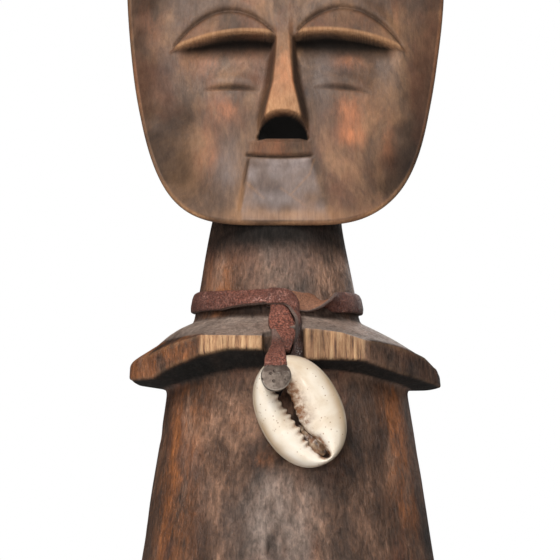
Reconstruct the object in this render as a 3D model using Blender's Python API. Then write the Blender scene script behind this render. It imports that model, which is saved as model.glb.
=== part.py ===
"""A carved wooden ancestor figure that wears a leather thong with a riveted cowrie shell.

The figure is one block of wood: a flat head with a carved face, a round neck, a drooping shoulder
flange and a flared body. One strip of leather goes round the neck. Its two ends cross at the front,
hang through a notch in the flange, and are riveted through the slit of the shell.

Sizes are in millimetres and are turned into metres where a mesh is made. The figure looks along -Y,
+X is at a viewer's right hand, +Z is up, and the origin is the centre of the base.
"""

import math

import bmesh
import bpy
from mathutils import Matrix, Vector

METRES = 0.001
GAP = 0.35  # between pieces that rest on each other

# Body: an oval cone, wide at the foot.
BASE_RX, BASE_RY = 37.4, 37.0
BODY_TOP_RX, BODY_TOP_RY = 26.7, 23.6
BODY_HEIGHT = 76.0
BASE_EDGE = 0.9

# Shoulder flange: a plate that droops to the two sides like a yoke.
FLANGE_RX, FLANGE_RY = 34.4, 28.2
FLANGE_X = -1.2
RIM_FRONT_HEIGHT = 3.6
RIM_SIDE_HEIGHT = 2.8
RIM_EASE = 0.5  # the rim's two edges are eased by this much
FLANGE_DROOP = 4.1  # how far the side tips hang below the front of the rim
FLANGE_TILT = 1.0  # the +X tip hangs lower by this much, and the other is as much higher
RIM_UNEVEN = 0.7  # the rim is taller in front of +X and behind -X
UNDERSIDE_DROP = 2.6  # the underside falls this far from the rim to the body
RIM_RISE = 3.0  # the underside of the front rim above the top of the body
NOTCH_X = -1.6
NOTCH_FLOOR_HALF, NOTCH_MOUTH_HALF = 4.0, 4.6
NOTCH_ABOVE_BODY = 0.4  # the slot starts this far above the top of the body's cone

# Neck: a round column that narrows upwards.
NECK_X = -2.9
NECK_BASE_RX, NECK_BASE_RY = 18.2, 16.4
NECK_TOP_RX, NECK_TOP_RY = 14.6, 13.0
NECK_HEIGHT = 20.6
SHOULDER_RISE = 5.6  # from the rim's top at the front to the foot of the neck
NAPE_HEIGHT = 21.0

# Head: a flat plate, leaning back, with the face on its lower half.
HEAD_X = -1.05
HEAD_HALF_WIDTH = 36.0
HEAD_LOWER, HEAD_UPPER = 66.8, 36.2  # below and above the widest line
CHIN_POWER, CROWN_POWER = 4.2, 2.5
HEAD_EDGE, HEAD_CROWN = 4.0, 3.0  # half the edge, and how far each face swells beyond it
HEAD_LEAN = math.radians(5.0)
CHIN_OVERHANG = 3.9
BROW_HEIGHT, BROW_ARCH = 42.4, 7.0  # the brow's lower edge, and how far its upper edge arches
BROW_FALL = 3.4  # its outer end below its inner one
BROW_INNER, BROW_OUTER, BROW_OUT = 2.2, 26.0, 0.9
SOCKET_DEPTH = 3.0
NOSE_FOOT, NOSE_TIP, NOSE_OUT = 18.2, 22.2, 4.6
NOSE_FOOT_WIDTH, NOSE_TIP_WIDTH, NOSE_BRIDGE_WIDTH = 11.6, 7.0, 3.0
EYE_HEIGHT, MOUTH_HEIGHT = 30.2, 14.2

# Thong: one strip of leather.
THONG_WIDTH, THONG_THICK = 4.6, 1.1
PETAL_WIDTH, WAIST_WIDTH = 5.4, 3.0
LOOP_RISE = 2.2  # the loop's lower edge above the foot of the neck
TAIL_X = -1.8  # the middle of the front end

# Cowrie, its back cut away, and its rivet.
SHELL_LENGTH, SHELL_WIDTH, SHELL_DEPTH = 23.6, 17.2, 5.6
SHELL_STANDOFF = 0.6  # the shell hangs this far in front of the rim
SLIT_HALF_WIDTH, SLIT_BOW = 1.15, 1.9
SHELL_RIVET_X, SHELL_RIVET_DOWN = -1.65, 4.5  # the rivet, beside the shell's axis and below its end
SHELL_TURN = math.radians(-27.0)
SHANK_R, STUD_R, STUD_THICK = 0.75, 2.75, 0.8
BURR_R, BURR_THICK, BURR_GAP = 1.9, 0.5, 0.3
STUD_GAP, HOLE_PLAY = 0.2, 0.2
STUD_X = -2.8
STUD_DROP = 6.0  # the rivet below the underside of the front rim

RINGS_AROUND = 48

# Heights and places that follow from the sizes.
RIM_BOTTOM = BODY_HEIGHT + RIM_RISE
RIM_TOP = RIM_BOTTOM + RIM_FRONT_HEIGHT
NECK_FOOT = RIM_TOP + SHOULDER_RISE
NECK_TOP = NECK_FOOT + NECK_HEIGHT
CHIN_Y = -(NECK_TOP_RY + CHIN_OVERHANG)
HEAD_MIDDLE_Y = CHIN_Y + HEAD_EDGE + HEAD_CROWN
LOOP_BOTTOM = NECK_FOOT + LOOP_RISE
HINGE_Z = LOOP_BOTTOM - GAP - THONG_THICK / 2
STUD_Z = RIM_BOTTOM - STUD_DROP


def mix(a, b, t):
    return a + (b - a) * t


def body_radius(z):
    """Half-width and half-depth of the body cone at height z."""
    t = z / BODY_HEIGHT
    return mix(BASE_RX, BODY_TOP_RX, t), mix(BASE_RY, BODY_TOP_RY, t)


def neck_radius(z):
    """Half-width and half-depth of the neck at height z."""
    t = (z - NECK_FOOT) / NECK_HEIGHT
    return mix(NECK_BASE_RX, NECK_TOP_RX, t), mix(NECK_BASE_RY, NECK_TOP_RY, t)


NOTCH_FLOOR_Y = -(body_radius(BODY_HEIGHT)[1] + 0.1)
HINGE_Y = -(neck_radius(LOOP_BOTTOM)[1] + 2 * (GAP + THONG_THICK) + GAP)


def material(name, colour, roughness, metallic=0.0):
    made = bpy.data.materials.new(name)
    made.use_nodes = True
    shader = made.node_tree.nodes["Principled BSDF"]
    shader.inputs["Base Color"].default_value = (*colour, 1.0)
    shader.inputs["Roughness"].default_value = roughness
    shader.inputs["Metallic"].default_value = metallic
    return made


def place(made, at, parent):
    """Stands an object at a point of the figure's frame, in millimetres, under its parent."""
    made["at_mm"] = at
    if parent:
        made.parent = parent
        at = at - Vector(parent["at_mm"])
    made.location = at * METRES
    bpy.context.scene.collection.objects.link(made)
    return made


def add_object(name, bm, look, parent=None):
    """Makes a named object of a bmesh in millimetres, with its origin at its parent's."""
    at = Vector(parent["at_mm"]) if parent else Vector((0, 0, 0))
    bmesh.ops.recalc_face_normals(bm, faces=bm.faces)
    bmesh.ops.translate(bm, vec=-at, verts=bm.verts)
    bmesh.ops.scale(bm, vec=(METRES,) * 3, verts=bm.verts)
    mesh = bpy.data.meshes.new(name)
    bm.to_mesh(mesh)
    bm.free()
    mesh.shade_smooth()
    mesh.set_sharp_from_angle(angle=math.radians(35))
    if look:
        mesh.materials.append(look)
    return place(bpy.data.objects.new(name, mesh), at, parent)


def add_pivot(name, at, parent=None):
    """An empty on a joint's axis, which the pieces of that body are parented to."""
    return place(bpy.data.objects.new(name, None), at, parent)


def bridge_rings(bm, rings, closed=False):
    """Joins each ring of vertices to the next, and caps the two ends unless the rings close."""
    made = [[bm.verts.new(point) for point in ring] for ring in rings]
    pairs = list(zip(made, made[1:]))
    if closed:
        pairs.append((made[-1], made[0]))
    for low, high in pairs:
        count = len(low)
        for i in range(count):
            j = (i + 1) % count
            bm.faces.new((low[i], low[j], high[j], high[i]))
    if not closed:
        bm.faces.new(reversed(made[0]))
        bm.faces.new(made[-1])
    return bm


def oval_ring(x, y, z, rx, ry):
    """A level oval of points, starting at the front and going to +X."""
    turns = [2 * math.pi * i / RINGS_AROUND for i in range(RINGS_AROUND)]
    return [Vector((x + rx * math.sin(a), y - ry * math.cos(a), z)) for a in turns]


def flange_ring(inset, front_z, side_z, uneven=0.0):
    """A ring of the flange that droops from the front and back to the two sides, and tilts."""
    ring = []
    for i in range(RINGS_AROUND):
        a = 2 * math.pi * i / RINGS_AROUND
        across, along = math.sin(a), -math.cos(a)
        z = mix(front_z, side_z, across * across) - FLANGE_TILT * across
        z += uneven * 2 * across * along
        ring.append(Vector((FLANGE_X + (FLANGE_RX - inset) * across, (FLANGE_RY - inset) * along, z)))
    return ring


def build_trunk():
    """Body, flange and neck as one stack of rings, ending inside the head at the nape."""
    rings = [oval_ring(0, 0, 0, BASE_RX - BASE_EDGE, BASE_RY - BASE_EDGE)]
    for height in (BASE_EDGE, BODY_HEIGHT * 0.35, BODY_HEIGHT * 0.7):
        rings.append(oval_ring(0, 0, height, *body_radius(height)))
    root_front, root_side = RIM_BOTTOM - UNDERSIDE_DROP, BODY_HEIGHT - UNDERSIDE_DROP
    root = []
    for i in range(RINGS_AROUND):
        a = 2 * math.pi * i / RINGS_AROUND
        z = mix(root_front, root_side, math.sin(a) ** 2)
        rx, ry = body_radius(z)
        root.append(Vector((rx * math.sin(a), -ry * math.cos(a), z)))
    rings.append(root)
    side_low = RIM_BOTTOM - FLANGE_DROOP
    side_top = side_low + RIM_SIDE_HEIGHT
    rings.append(flange_ring(RIM_EASE, RIM_BOTTOM, side_low, RIM_UNEVEN))
    rings.append(flange_ring(0.0, RIM_BOTTOM + RIM_EASE, side_low + RIM_EASE, RIM_UNEVEN))
    rings.append(flange_ring(0.0, RIM_TOP - RIM_EASE, side_top - RIM_EASE))
    rings.append(flange_ring(RIM_EASE, RIM_TOP, side_top))
    rings.append(oval_ring(NECK_X, 0, NECK_FOOT, *neck_radius(NECK_FOOT)))
    middle = (NECK_FOOT + NECK_TOP) / 2
    rings.append(oval_ring(NECK_X, 0, middle, *neck_radius(middle)))
    rings.append(oval_ring(NECK_X, 0, NECK_TOP, NECK_TOP_RX, NECK_TOP_RY))
    buried = HEAD_MIDDLE_Y - HEAD_EDGE * 0.5
    for t, back, narrow in ((0.28, 9.6, 0.93), (0.55, 4.2, 0.78), (0.8, -0.4, 0.58), (1.0, -3.4, 0.36)):
        z = NECK_TOP + NAPE_HEIGHT * t
        rings.append(oval_ring(NECK_X, (back + buried) / 2, z, NECK_TOP_RX * narrow, (back - buried) / 2))
    return bridge_rings(bmesh.new(), rings)


def head_outline():
    """Points round the head: a blunt super-ellipse below the widest line, a rounder one above."""
    right = []
    for i in range(1, 24):
        a = math.pi * i / 24
        up = -math.cos(a)
        reach, power = (HEAD_LOWER, CHIN_POWER) if up < 0 else (HEAD_UPPER, CROWN_POWER)
        half = HEAD_HALF_WIDTH * (1 - up * up) ** (1 / power)
        right.append((half, HEAD_LOWER + reach * up))
    bottom, top = (0.0, 0.0), (0.0, HEAD_LOWER + HEAD_UPPER)
    left = [(-x, h) for x, h in reversed(right)]
    return [bottom, *right, top, *left]


def face_matrix():
    """From the plate's own frame (x across, y out of its middle, z up from the chin) to the figure's."""
    lean = Matrix.Rotation(-HEAD_LEAN, 4, "X")
    return Matrix.Translation((HEAD_X, HEAD_MIDDLE_Y, NECK_TOP)) @ lean


def build_head():
    """The plate: rings of the outline, shrunk towards the middle while each face swells."""
    middle = HEAD_LOWER * 0.8
    profile = (
        (0.25, -HEAD_EDGE - HEAD_CROWN),
        (0.7, -HEAD_EDGE - HEAD_CROWN * 0.75),
        (0.95, -HEAD_EDGE - HEAD_CROWN * 0.1),
        (0.985, -HEAD_EDGE + 0.6),
        (1.0, -HEAD_EDGE + 1.8),
        (1.0, HEAD_EDGE - 1.8),
        (0.985, HEAD_EDGE - 0.6),
        (0.95, HEAD_EDGE + HEAD_CROWN * 0.1),
        (0.7, HEAD_EDGE + HEAD_CROWN * 0.5),
        (0.25, HEAD_EDGE + HEAD_CROWN * 0.7),
    )
    outline = head_outline()
    rings = []
    for share, y in profile:
        rings.append([Vector((x * share, y, middle + (h - middle) * share)) for x, h in outline])
    bm = bridge_rings(bmesh.new(), rings)
    bmesh.ops.transform(bm, matrix=face_matrix(), verts=bm.verts)
    return bm


def front_of_plate():
    return -(HEAD_EDGE + HEAD_CROWN)


def prism(front, back):
    """A solid between two outlines of the same count, each a list of (x, y, z) on the plate."""
    bm = bridge_rings(bmesh.new(), [[Vector(p) for p in front], [Vector(p) for p in back]])
    bmesh.ops.transform(bm, matrix=face_matrix(), verts=bm.verts)
    return bm


def brow_line(t, arch):
    """A point of the brow, from its inner end at t = 0 to its outer end at t = 1."""
    h = BROW_HEIGHT + arch * math.sin(math.pi * t) ** 0.8 - BROW_FALL * t * t
    return mix(BROW_INNER, BROW_OUTER, t), h


def brow_surface(x):
    """How far out the plate's face is at a distance from its middle, near the brows."""
    return front_of_plate() + 1.0 * (x / BROW_OUTER) ** 2


def socket_cutter(side):
    """The hollow below one brow: deepest under the brow's arched edge, and gone at the cheek."""
    out, plate, steps = front_of_plate() - 4.0, front_of_plate(), 8
    sections = []
    for i in range(steps + 1):
        t = i / steps
        x, top = brow_line(t, 1.0)
        depth = SOCKET_DEPTH * mix(1.0, 0.3, t * t)
        foot = EYE_HEIGHT - 13.5 + 5.0 * t * t
        sections.append(
            [
                (side * x, out, top),
                (side * x, plate + depth, top),
                (side * mix(x, 12.0, 0.1), plate + depth * 0.72, mix(top, foot, 0.3)),
                (side * mix(x, 12.0, 0.2), plate + depth * 0.34, mix(top, foot, 0.65)),
                (side * mix(x, 12.0, 0.3), plate - 0.1, foot),
                (side * mix(x, 12.0, 0.3), out, foot),
            ]
        )
    bm = bridge_rings(bmesh.new(), [[Vector(p) for p in section] for section in sections])
    bmesh.ops.transform(bm, matrix=face_matrix(), verts=bm.verts)
    return bm


def build_brow(side):
    """A raised crescent over one eye, thickest in its middle."""
    steps = 9
    low = [brow_line(i / steps, 0.5) for i in range(steps + 1)]
    high = [brow_line(i / steps, BROW_ARCH) for i in range(steps - 1, 0, -1)]
    outline = low + high
    front = []
    for x, h in outline:
        swell = BROW_OUT * (0.55 if (x, h) in high else 1.0)
        front.append((side * x, brow_surface(x) - swell, h))
    back = [(side * x, brow_surface(x) + 2.0, h) for x, h in outline]
    return prism(front, back)


def slit_cutter(x, h, half_width, half_height, depth):
    """A shallow pointed slit across the face."""
    turns = [2 * math.pi * i / 8 for i in range(8)]
    rim = [(x - math.cos(a) * half_width, h - math.sin(a) * half_height) for a in turns]
    front = [(px, front_of_plate() - 4.0, ph) for px, ph in rim]
    back = [(px, front_of_plate() + depth, ph) for px, ph in rim]
    return prism(front, back)


def build_nose():
    """A long wedge from the bridge to the tip, its foot cut back towards the lip."""
    plate = front_of_plate()
    root = plate + SOCKET_DEPTH + 1.0
    levels = (
        (NOSE_FOOT, NOSE_FOOT_WIDTH, NOSE_FOOT_WIDTH * 0.96, plate + 0.4),
        (NOSE_TIP, NOSE_FOOT_WIDTH * 0.92, NOSE_TIP_WIDTH, plate - NOSE_OUT),
        (BROW_HEIGHT * 0.78, NOSE_FOOT_WIDTH * 0.55, NOSE_BRIDGE_WIDTH * 1.2, plate - NOSE_OUT * 0.45),
        (BROW_HEIGHT + 1.5, NOSE_BRIDGE_WIDTH * 1.3, NOSE_BRIDGE_WIDTH, plate - 0.2),
    )
    bm = bmesh.new()
    rings = []
    for h, foot, face, out in levels:
        ring = [(-foot / 2, root, h), (foot / 2, root, h), (face / 2, out, h), (-face / 2, out, h)]
        rings.append([Vector(p) for p in ring])
    bridge_rings(bm, rings)
    bmesh.ops.transform(bm, matrix=face_matrix(), verts=bm.verts)
    return bm


def notch_cutter():
    """The slot through the flange for the thong's two ends, wider at its mouth."""
    mouth_y = -FLANGE_RY - 3.0
    along = (mouth_y - NOTCH_FLOOR_Y) / (-FLANGE_RY - NOTCH_FLOOR_Y)
    reach = mix(NOTCH_FLOOR_HALF, NOTCH_MOUTH_HALF, along)
    low, high = BODY_HEIGHT + NOTCH_ABOVE_BODY, NECK_FOOT + 4.0
    floor = NOTCH_FLOOR_HALF
    plan = ((-floor, NOTCH_FLOOR_Y), (floor, NOTCH_FLOOR_Y), (reach, mouth_y), (-reach, mouth_y))
    rings = [[Vector((NOTCH_X + x, y, z)) for x, y in plan] for z in (low, high)]
    return bridge_rings(bmesh.new(), rings)


def apply_boolean(target, tools, operation):
    """Each tool is a helper object, taken away or added for good."""
    for tool in tools:
        tool.hide_render = True
        tool.display_type = "WIRE"
        step = target.modifiers.new(tool.name, "BOOLEAN")
        step.operation = operation
        step.object = tool


def build_figure(look):
    figure = add_object("carved_figure", build_trunk(), look)
    head = add_object("head_plate", build_head(), None)
    raised = [add_object("nose_wedge", build_nose(), None)]
    raised += [add_object(f"brow_{side}", build_brow(side), None) for side in (-1, 1)]
    cut = [add_object(f"socket_{side}", socket_cutter(side), None) for side in (-1, 1)]
    for side in (-1, 1):
        eye = slit_cutter(side * 12.4, EYE_HEIGHT, 6.2, 0.6, SOCKET_DEPTH * 0.85)
        cut.append(add_object(f"eye_{side}", eye, None))
    mouth = slit_cutter(0.2, MOUTH_HEIGHT, 7.6, 0.5, 0.9)
    cut.append(add_object("mouth", mouth, None))
    apply_boolean(figure, [head], "UNION")
    apply_boolean(figure, cut, "DIFFERENCE")
    apply_boolean(figure, raised, "UNION")
    apply_boolean(figure, [add_object("notch", notch_cutter(), None)], "DIFFERENCE")
    return figure


def strap_section(point, along, across, width, thick):
    """An eight-sided section of the strap, with its corners eased, square to the way it runs."""
    out = along.cross(across).normalized()
    side = out.cross(along).normalized()
    ease = thick * 0.3
    w, t = width / 2, thick / 2
    shape = ((-w + ease, -t), (w - ease, -t), (w, -t + ease), (w, t - ease))
    shape += tuple((-a, -b) for a, b in shape)
    return [point + side * a + out * b for a, b in shape]


def build_strap(stations):
    """A strap through (point, direction across it, width) stations."""
    rings = []
    for i, (point, across, width) in enumerate(stations):
        before = stations[max(i - 1, 0)][0]
        after = stations[min(i + 1, len(stations) - 1)][0]
        rings.append(strap_section(point, (after - before).normalized(), across, width, THONG_THICK))
    return bridge_rings(bmesh.new(), rings)


def smooth_stations(knots, steps):
    """Stations between the knots, on a Catmull-Rom curve, so that the strap bends evenly."""
    made = []
    last = len(knots) - 1
    for i in range(last):
        four = [knots[min(max(k, 0), last)] for k in (i - 1, i, i + 1, i + 2)]
        for s in range(steps):
            t = s / steps
            made.append(tuple(catmull_rom(values, t) for values in zip(*four)))
    made.append(knots[-1])
    return made


def catmull_rom(values, t):
    a, b, c, d = values
    square = 2 * a - 5 * b + 4 * c - d
    cube = 3 * b - a - 3 * c + d
    return (2 * b + (c - a) * t + square * t**2 + cube * t**3) * 0.5


def build_loop():
    """The thong round the neck: it starts at the front, goes round once and ends on top of its start."""
    start, end = math.radians(-9.0), math.radians(372.0)
    steps = 62
    z = LOOP_BOTTOM + THONG_WIDTH / 2
    rx, ry = neck_radius(LOOP_BOTTOM)
    lift = math.radians(318.0)  # from here the end rises over the start
    stations = []
    for i in range(steps + 1):
        a = mix(start, end, i / steps)
        over = min(max((a - lift) / (math.radians(345.0) - lift), 0.0), 1.0)
        off = GAP + THONG_THICK / 2 + (THONG_THICK + GAP) * over * over * (3 - 2 * over)
        point = Vector((NECK_X + (rx + off) * math.sin(a), -(ry + off) * math.cos(a), z))
        stations.append((point, Vector((0, 0, 1)), THONG_WIDTH))
    return build_strap(stations)


def on_shell(x, out, z):
    """A point by its place from the rivet, where out is counted from the shell's back towards the front."""
    return Vector((STUD_X + x, -(FLANGE_RY + SHELL_STANDOFF) - out, STUD_Z + z))


FRONT_SEAT = SHELL_DEPTH + GAP  # where the front end's leather starts
STUD_SEAT = FRONT_SEAT + THONG_THICK + STUD_GAP


def shoulder_z(y):
    """Height of the flange's top along its middle, at a place in front of the neck."""
    return mix(NECK_FOOT, RIM_TOP, (-y - NECK_BASE_RY) / (FLANGE_RY - NECK_BASE_RY))


def build_front_tail():
    """From the crossing over the shoulder and through the notch, waisted and twisted, to the rivet."""
    out = FRONT_SEAT + THONG_THICK / 2
    above, edge, seat, end = (on_shell(0, out, z) for z in (STUD_R + 1.6, STUD_R * 0.8, 0, -STUD_R * 0.75))
    top = Vector((TAIL_X, HINGE_Y, HINGE_Z))
    corner_y = NOTCH_FLOOR_Y - THONG_THICK - GAP
    corner = Vector((TAIL_X, corner_y, shoulder_z(NOTCH_FLOOR_Y) + THONG_THICK * 0.6))
    waist = corner.lerp(above, 0.5) + Vector((0.1, -0.5, 0.4))
    x = Vector((1, 0, 0))
    twisted = Vector((1, -0.5, 0)).normalized()
    knots = [
        (top, x, PETAL_WIDTH * 0.8),
        (top.lerp(corner, 0.5) + Vector((0.2, -0.5, 0.3)), x, PETAL_WIDTH),
        (corner, x, PETAL_WIDTH * 0.76),
        (waist, twisted, WAIST_WIDTH),
        (above, x, THONG_WIDTH * 0.8),
        (edge, x, THONG_WIDTH * 0.95),
        (seat, x, THONG_WIDTH),
        (end, x, THONG_WIDTH * 0.8),
    ]
    return build_strap(smooth_stations(knots, 4))


def build_back_tail():
    """From the crossing, down beside and behind the front end, to the back of the shell."""
    narrow = THONG_WIDTH * 0.5
    behind = -(GAP + THONG_THICK / 2)
    top = Vector((TAIL_X + PETAL_WIDTH * 0.4 + THONG_THICK / 2 + GAP + 1.3, HINGE_Y, HINGE_Z))
    corner_y = NOTCH_FLOOR_Y - GAP - narrow / 2
    wall = NOTCH_X + NOTCH_FLOOR_HALF
    corner = Vector((wall - GAP - THONG_THICK * 0.75, corner_y, shoulder_z(corner_y) + narrow * 0.4))
    slanted = Vector((1, 0, 0.5)).normalized()
    through = Vector((corner.x - 0.4, NOTCH_FLOOR_Y - GAP - THONG_THICK, RIM_BOTTOM + 0.4))
    knots = [
        (top, Vector((0.3, -0.7, 0.7)).normalized(), narrow),
        (corner, Vector((0.1, -0.9, 0.4)).normalized(), narrow),
        (through, Vector((0.8, -0.6, 0)).normalized(), narrow),
        (on_shell(3.2, behind - 0.5, 4.6), slanted, THONG_WIDTH * 0.6),
        (on_shell(2.0, behind - 0.15, 2.8), slanted, THONG_WIDTH * 0.8),
        (on_shell(0.2, behind, 0.6), slanted, THONG_WIDTH * 0.9),
        (on_shell(-0.8, behind, -2.0), slanted, THONG_WIDTH * 0.8),
    ]
    return build_strap(smooth_stations(knots, 4))


def shell_outline(a):
    """The margin of the shell at angle a, from its middle: a little fuller to the lower right."""
    half_w, half_l = SHELL_WIDTH / 2, SHELL_LENGTH / 2
    power = 2 / 2.15
    c, s = math.cos(a), math.sin(a)
    return (
        half_w * math.copysign(abs(c) ** power, c),
        half_l * math.copysign(abs(s) ** power, s),
    )


def slit_edge(a):
    """The lip of the slit at angle a: a long lens that bows to the left, wider towards the rivet."""
    s = math.sin(a)
    z = (SHELL_LENGTH / 2 - 1.6) * s
    bow = -SLIT_BOW * (1 - s * s) - SLIT_BOW * 0.75 * max(s, 0.0) ** 2 + 0.6 * max(-s, 0.0) ** 2
    blunt = math.copysign(math.sqrt(abs(math.cos(a))), math.cos(a))
    return bow + SLIT_HALF_WIDTH * (1 + 0.5 * max(s, 0.0)) * blunt, z


def build_shell():
    """A ring round the slit: each section runs from the rolled lip, over the face, to the cut margin."""
    rings = []
    around = 44
    rivet = Vector((SHELL_RIVET_X, 0, SHELL_LENGTH / 2 - SHELL_RIVET_DOWN))
    turn = Matrix.Rotation(SHELL_TURN, 4, "Y")
    for i in range(around):
        a = 2 * math.pi * i / around
        ox, oz = shell_outline(a)
        ix, iz = slit_edge(a)
        section = []
        for share, out in (
            (0.0, 0.62),
            (0.04, 0.8),
            (0.3, 0.97),
            (0.6, 1.0),
            (0.88, 0.72),
            (1.0, 0.3),
            (0.99, 0.0),
            (0.84, 0.0),
            (0.78, 0.5),
            (0.4, 0.66),
            (0.12, 0.5),
        ):
            height = SHELL_DEPTH * out * (0.92 + 0.08 * math.sin(a))
            place = turn @ (Vector((mix(ix, ox, share), -height, mix(iz, oz, share))) - rivet)
            section.append(on_shell(0, 0, 0) + place)
        rings.append(section)
    return bridge_rings(bmesh.new(), rings, closed=True)


def turned_piece(profile, sides):
    """A turned solid on the rivet's axis, from (radius, out) pairs."""
    rings = []
    for radius, out in profile:
        turns = [2 * math.pi * i / sides for i in range(sides)]
        rings.append([on_shell(radius * math.cos(a), out, radius * math.sin(a)) for a in turns])
    return bridge_rings(bmesh.new(), rings)


def build_stud():
    """A flat iron head on a round shank, which ends flush with the burr."""
    shank_end = -(GAP + THONG_THICK + BURR_GAP + BURR_THICK)
    profile = (
        (SHANK_R * 0.8, shank_end),
        (SHANK_R, shank_end + 0.2),
        (SHANK_R, STUD_SEAT),
        (STUD_R * 0.94, STUD_SEAT),
        (STUD_R, STUD_SEAT + STUD_THICK * 0.3),
        (STUD_R * 0.93, STUD_SEAT + STUD_THICK * 0.75),
        (STUD_R * 0.6, STUD_SEAT + STUD_THICK),
    )
    return turned_piece(profile, 24)


def rivet_hole(name, back, front, radius, parent):
    """A helper that clears the shank's way through a piece."""
    return add_object(name, turned_piece(((radius, back), (radius, front)), 24), None, parent)


def build_burr():
    """A small iron washer that the shank is hammered over, behind the back end of the thong."""
    front = -(GAP + THONG_THICK + BURR_GAP)
    back = front - BURR_THICK
    return turned_piece(((BURR_R * 0.93, back), (BURR_R, (back + front) / 2), (BURR_R * 0.97, front)), 20)


def main():
    for old in list(bpy.data.objects):
        bpy.data.objects.remove(old)
    wood = material("wood", (0.135, 0.085, 0.058), 0.5)
    leather = material("leather", (0.17, 0.055, 0.038), 0.6)
    porcelain = material("cowrie", (0.74, 0.65, 0.52), 0.28)
    iron = material("iron", (0.11, 0.1, 0.095), 0.45, 0.8)

    build_figure(wood)
    loop_pivot = add_pivot("loop_pivot", Vector((NECK_X, 0, LOOP_BOTTOM)))
    hang_pivot = add_pivot("hang_pivot", Vector((TAIL_X, HINGE_Y, HINGE_Z)), loop_pivot)
    shell_pivot = add_pivot("shell_pivot", on_shell(0, 0, 0), hang_pivot)

    add_object("thong_neck_loop", build_loop(), leather, loop_pivot)
    front = add_object("thong_front_end", build_front_tail(), leather, hang_pivot)
    back = add_object("thong_back_end", build_back_tail(), leather, hang_pivot)
    add_object("rivet_stud", build_stud(), iron, hang_pivot)
    burr = add_object("rivet_burr", build_burr(), iron, hang_pivot)
    add_object("cowrie_shell", build_shell(), porcelain, shell_pivot)

    hole = SHANK_R + HOLE_PLAY
    deep = -(GAP + THONG_THICK + GAP + BURR_THICK + 1.0)
    for piece, name, near, far in (
        (front, "hole_front", FRONT_SEAT - 1.0, STUD_SEAT + 1.0),
        (back, "hole_back", deep, 1.0),
        (burr, "hole_burr", deep, 0.0),
    ):
        apply_boolean(piece, [rivet_hole(name, near, far, hole, hang_pivot)], "DIFFERENCE")


main()
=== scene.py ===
"""Looks of a carved ancestor figure with a leather thong and a riveted cowrie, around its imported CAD."""

import math

import bpy
import numpy as np
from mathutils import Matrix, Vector


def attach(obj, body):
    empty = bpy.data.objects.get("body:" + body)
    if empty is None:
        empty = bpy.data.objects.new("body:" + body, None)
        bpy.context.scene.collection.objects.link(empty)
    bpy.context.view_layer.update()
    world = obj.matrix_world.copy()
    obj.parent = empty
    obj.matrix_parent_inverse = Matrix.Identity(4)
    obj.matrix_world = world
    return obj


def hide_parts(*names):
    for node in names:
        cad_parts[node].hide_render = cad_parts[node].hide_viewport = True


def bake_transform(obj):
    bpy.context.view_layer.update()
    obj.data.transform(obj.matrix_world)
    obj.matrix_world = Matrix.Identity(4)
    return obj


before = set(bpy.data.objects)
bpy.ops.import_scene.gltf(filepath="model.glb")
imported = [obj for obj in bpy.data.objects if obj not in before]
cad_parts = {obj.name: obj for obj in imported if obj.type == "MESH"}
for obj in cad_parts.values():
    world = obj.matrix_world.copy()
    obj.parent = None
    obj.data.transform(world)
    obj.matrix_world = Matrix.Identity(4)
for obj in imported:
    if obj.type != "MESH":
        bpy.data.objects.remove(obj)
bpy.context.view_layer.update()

MM = 0.001

# Sizes and places in millimetres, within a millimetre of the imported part, and angles.
HEAD_AT = (-0.75, -9.9, 108.8)
HEAD_LEAN = math.radians(5.0)
HEAD_HALF_WIDTH = 36.0
HEAD_LOWER, HEAD_UPPER = 66.8, 36.2
CHIN_POWER, CROWN_POWER = 4.2, 2.5
PLATE_MIDDLE = 53.4
PLATE_EDGE = 4.0
PLATE_CORNER = 1.1
BASE_RX, BASE_RY = 37.4, 37.0
BODY_TOP_X, BODY_TOP_RX, BODY_TOP_RY = -0.45, 26.25, 23.6
BODY_HEIGHT = 76.0
FLANGE_X, FLANGE_RX, FLANGE_RY = -0.85, 35.1, 28.2
NECK_X = -2.7
NECK_FOOT, NECK_TOP = 88.2, 108.8
NECK_BASE_RX, NECK_BASE_RY = 18.7, 16.4
NECK_TOP_RX, NECK_TOP_RY = 15.1, 13.0
NOTCH_FLOOR_Y = -23.8
LOOP_BOTTOM = 90.4
THONG_WIDTH, THONG_THICK = 4.6, 1.1
RIVET = np.array([-2.8, -28.8, 73.0])
SHELL_LENGTH, SHELL_WIDTH, SHELL_DEPTH = 23.6, 17.2, 5.6
SHELL_TURN = math.radians(-27.0)

# How finely the head and the shell are divided, and the seeded values that smooth lumps are made from.
HEAD_COLUMNS, FACE_RINGS = 470, 148
SHELL_COLUMNS, SHELL_ROWS, SHELL_FACE_ROWS = 380, 150, 96
LUMPS = np.random.default_rng(7).uniform(-1.0, 1.0, (8, 32, 32, 32))


# ---------------------------------------------------------------- shapes on grids


def mix(a, b, t):
    """a where t is 0 and b where it is 1, straight between them."""
    return a + (b - a) * t


def ease(t):
    """0 below 0 and 1 above 1, rising smoothly between: three times the square less twice the cube."""
    t = np.clip(t, 0.0, 1.0)
    return t * t * (3.0 - 2.0 * t)


def hump(d, width):
    """1 where d is 0, falling away with the exponential of its square."""
    return np.exp(-((d / width) ** 2))


def most(*values):
    """The greatest of several values, point by point."""
    return np.maximum.reduce(np.broadcast_arrays(*values))


def lumps(points, size, seed=0):
    """Smooth lumps from -1 to 1: seeded values on a lattice, blended between the eight nearest ones."""
    spot = points / np.asarray(size, float) + 64.0
    cell = np.floor(spot).astype(int)
    part = ease(spot - cell)
    total = np.zeros(points.shape[:-1])
    for corner in np.ndindex(2, 2, 2):
        near = (cell + corner) % 32
        weight = np.prod(np.where(np.array(corner) == 1, part, 1.0 - part), axis=-1)
        total = total + weight * LUMPS[seed, near[..., 0], near[..., 1], near[..., 2]]
    return total


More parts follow.
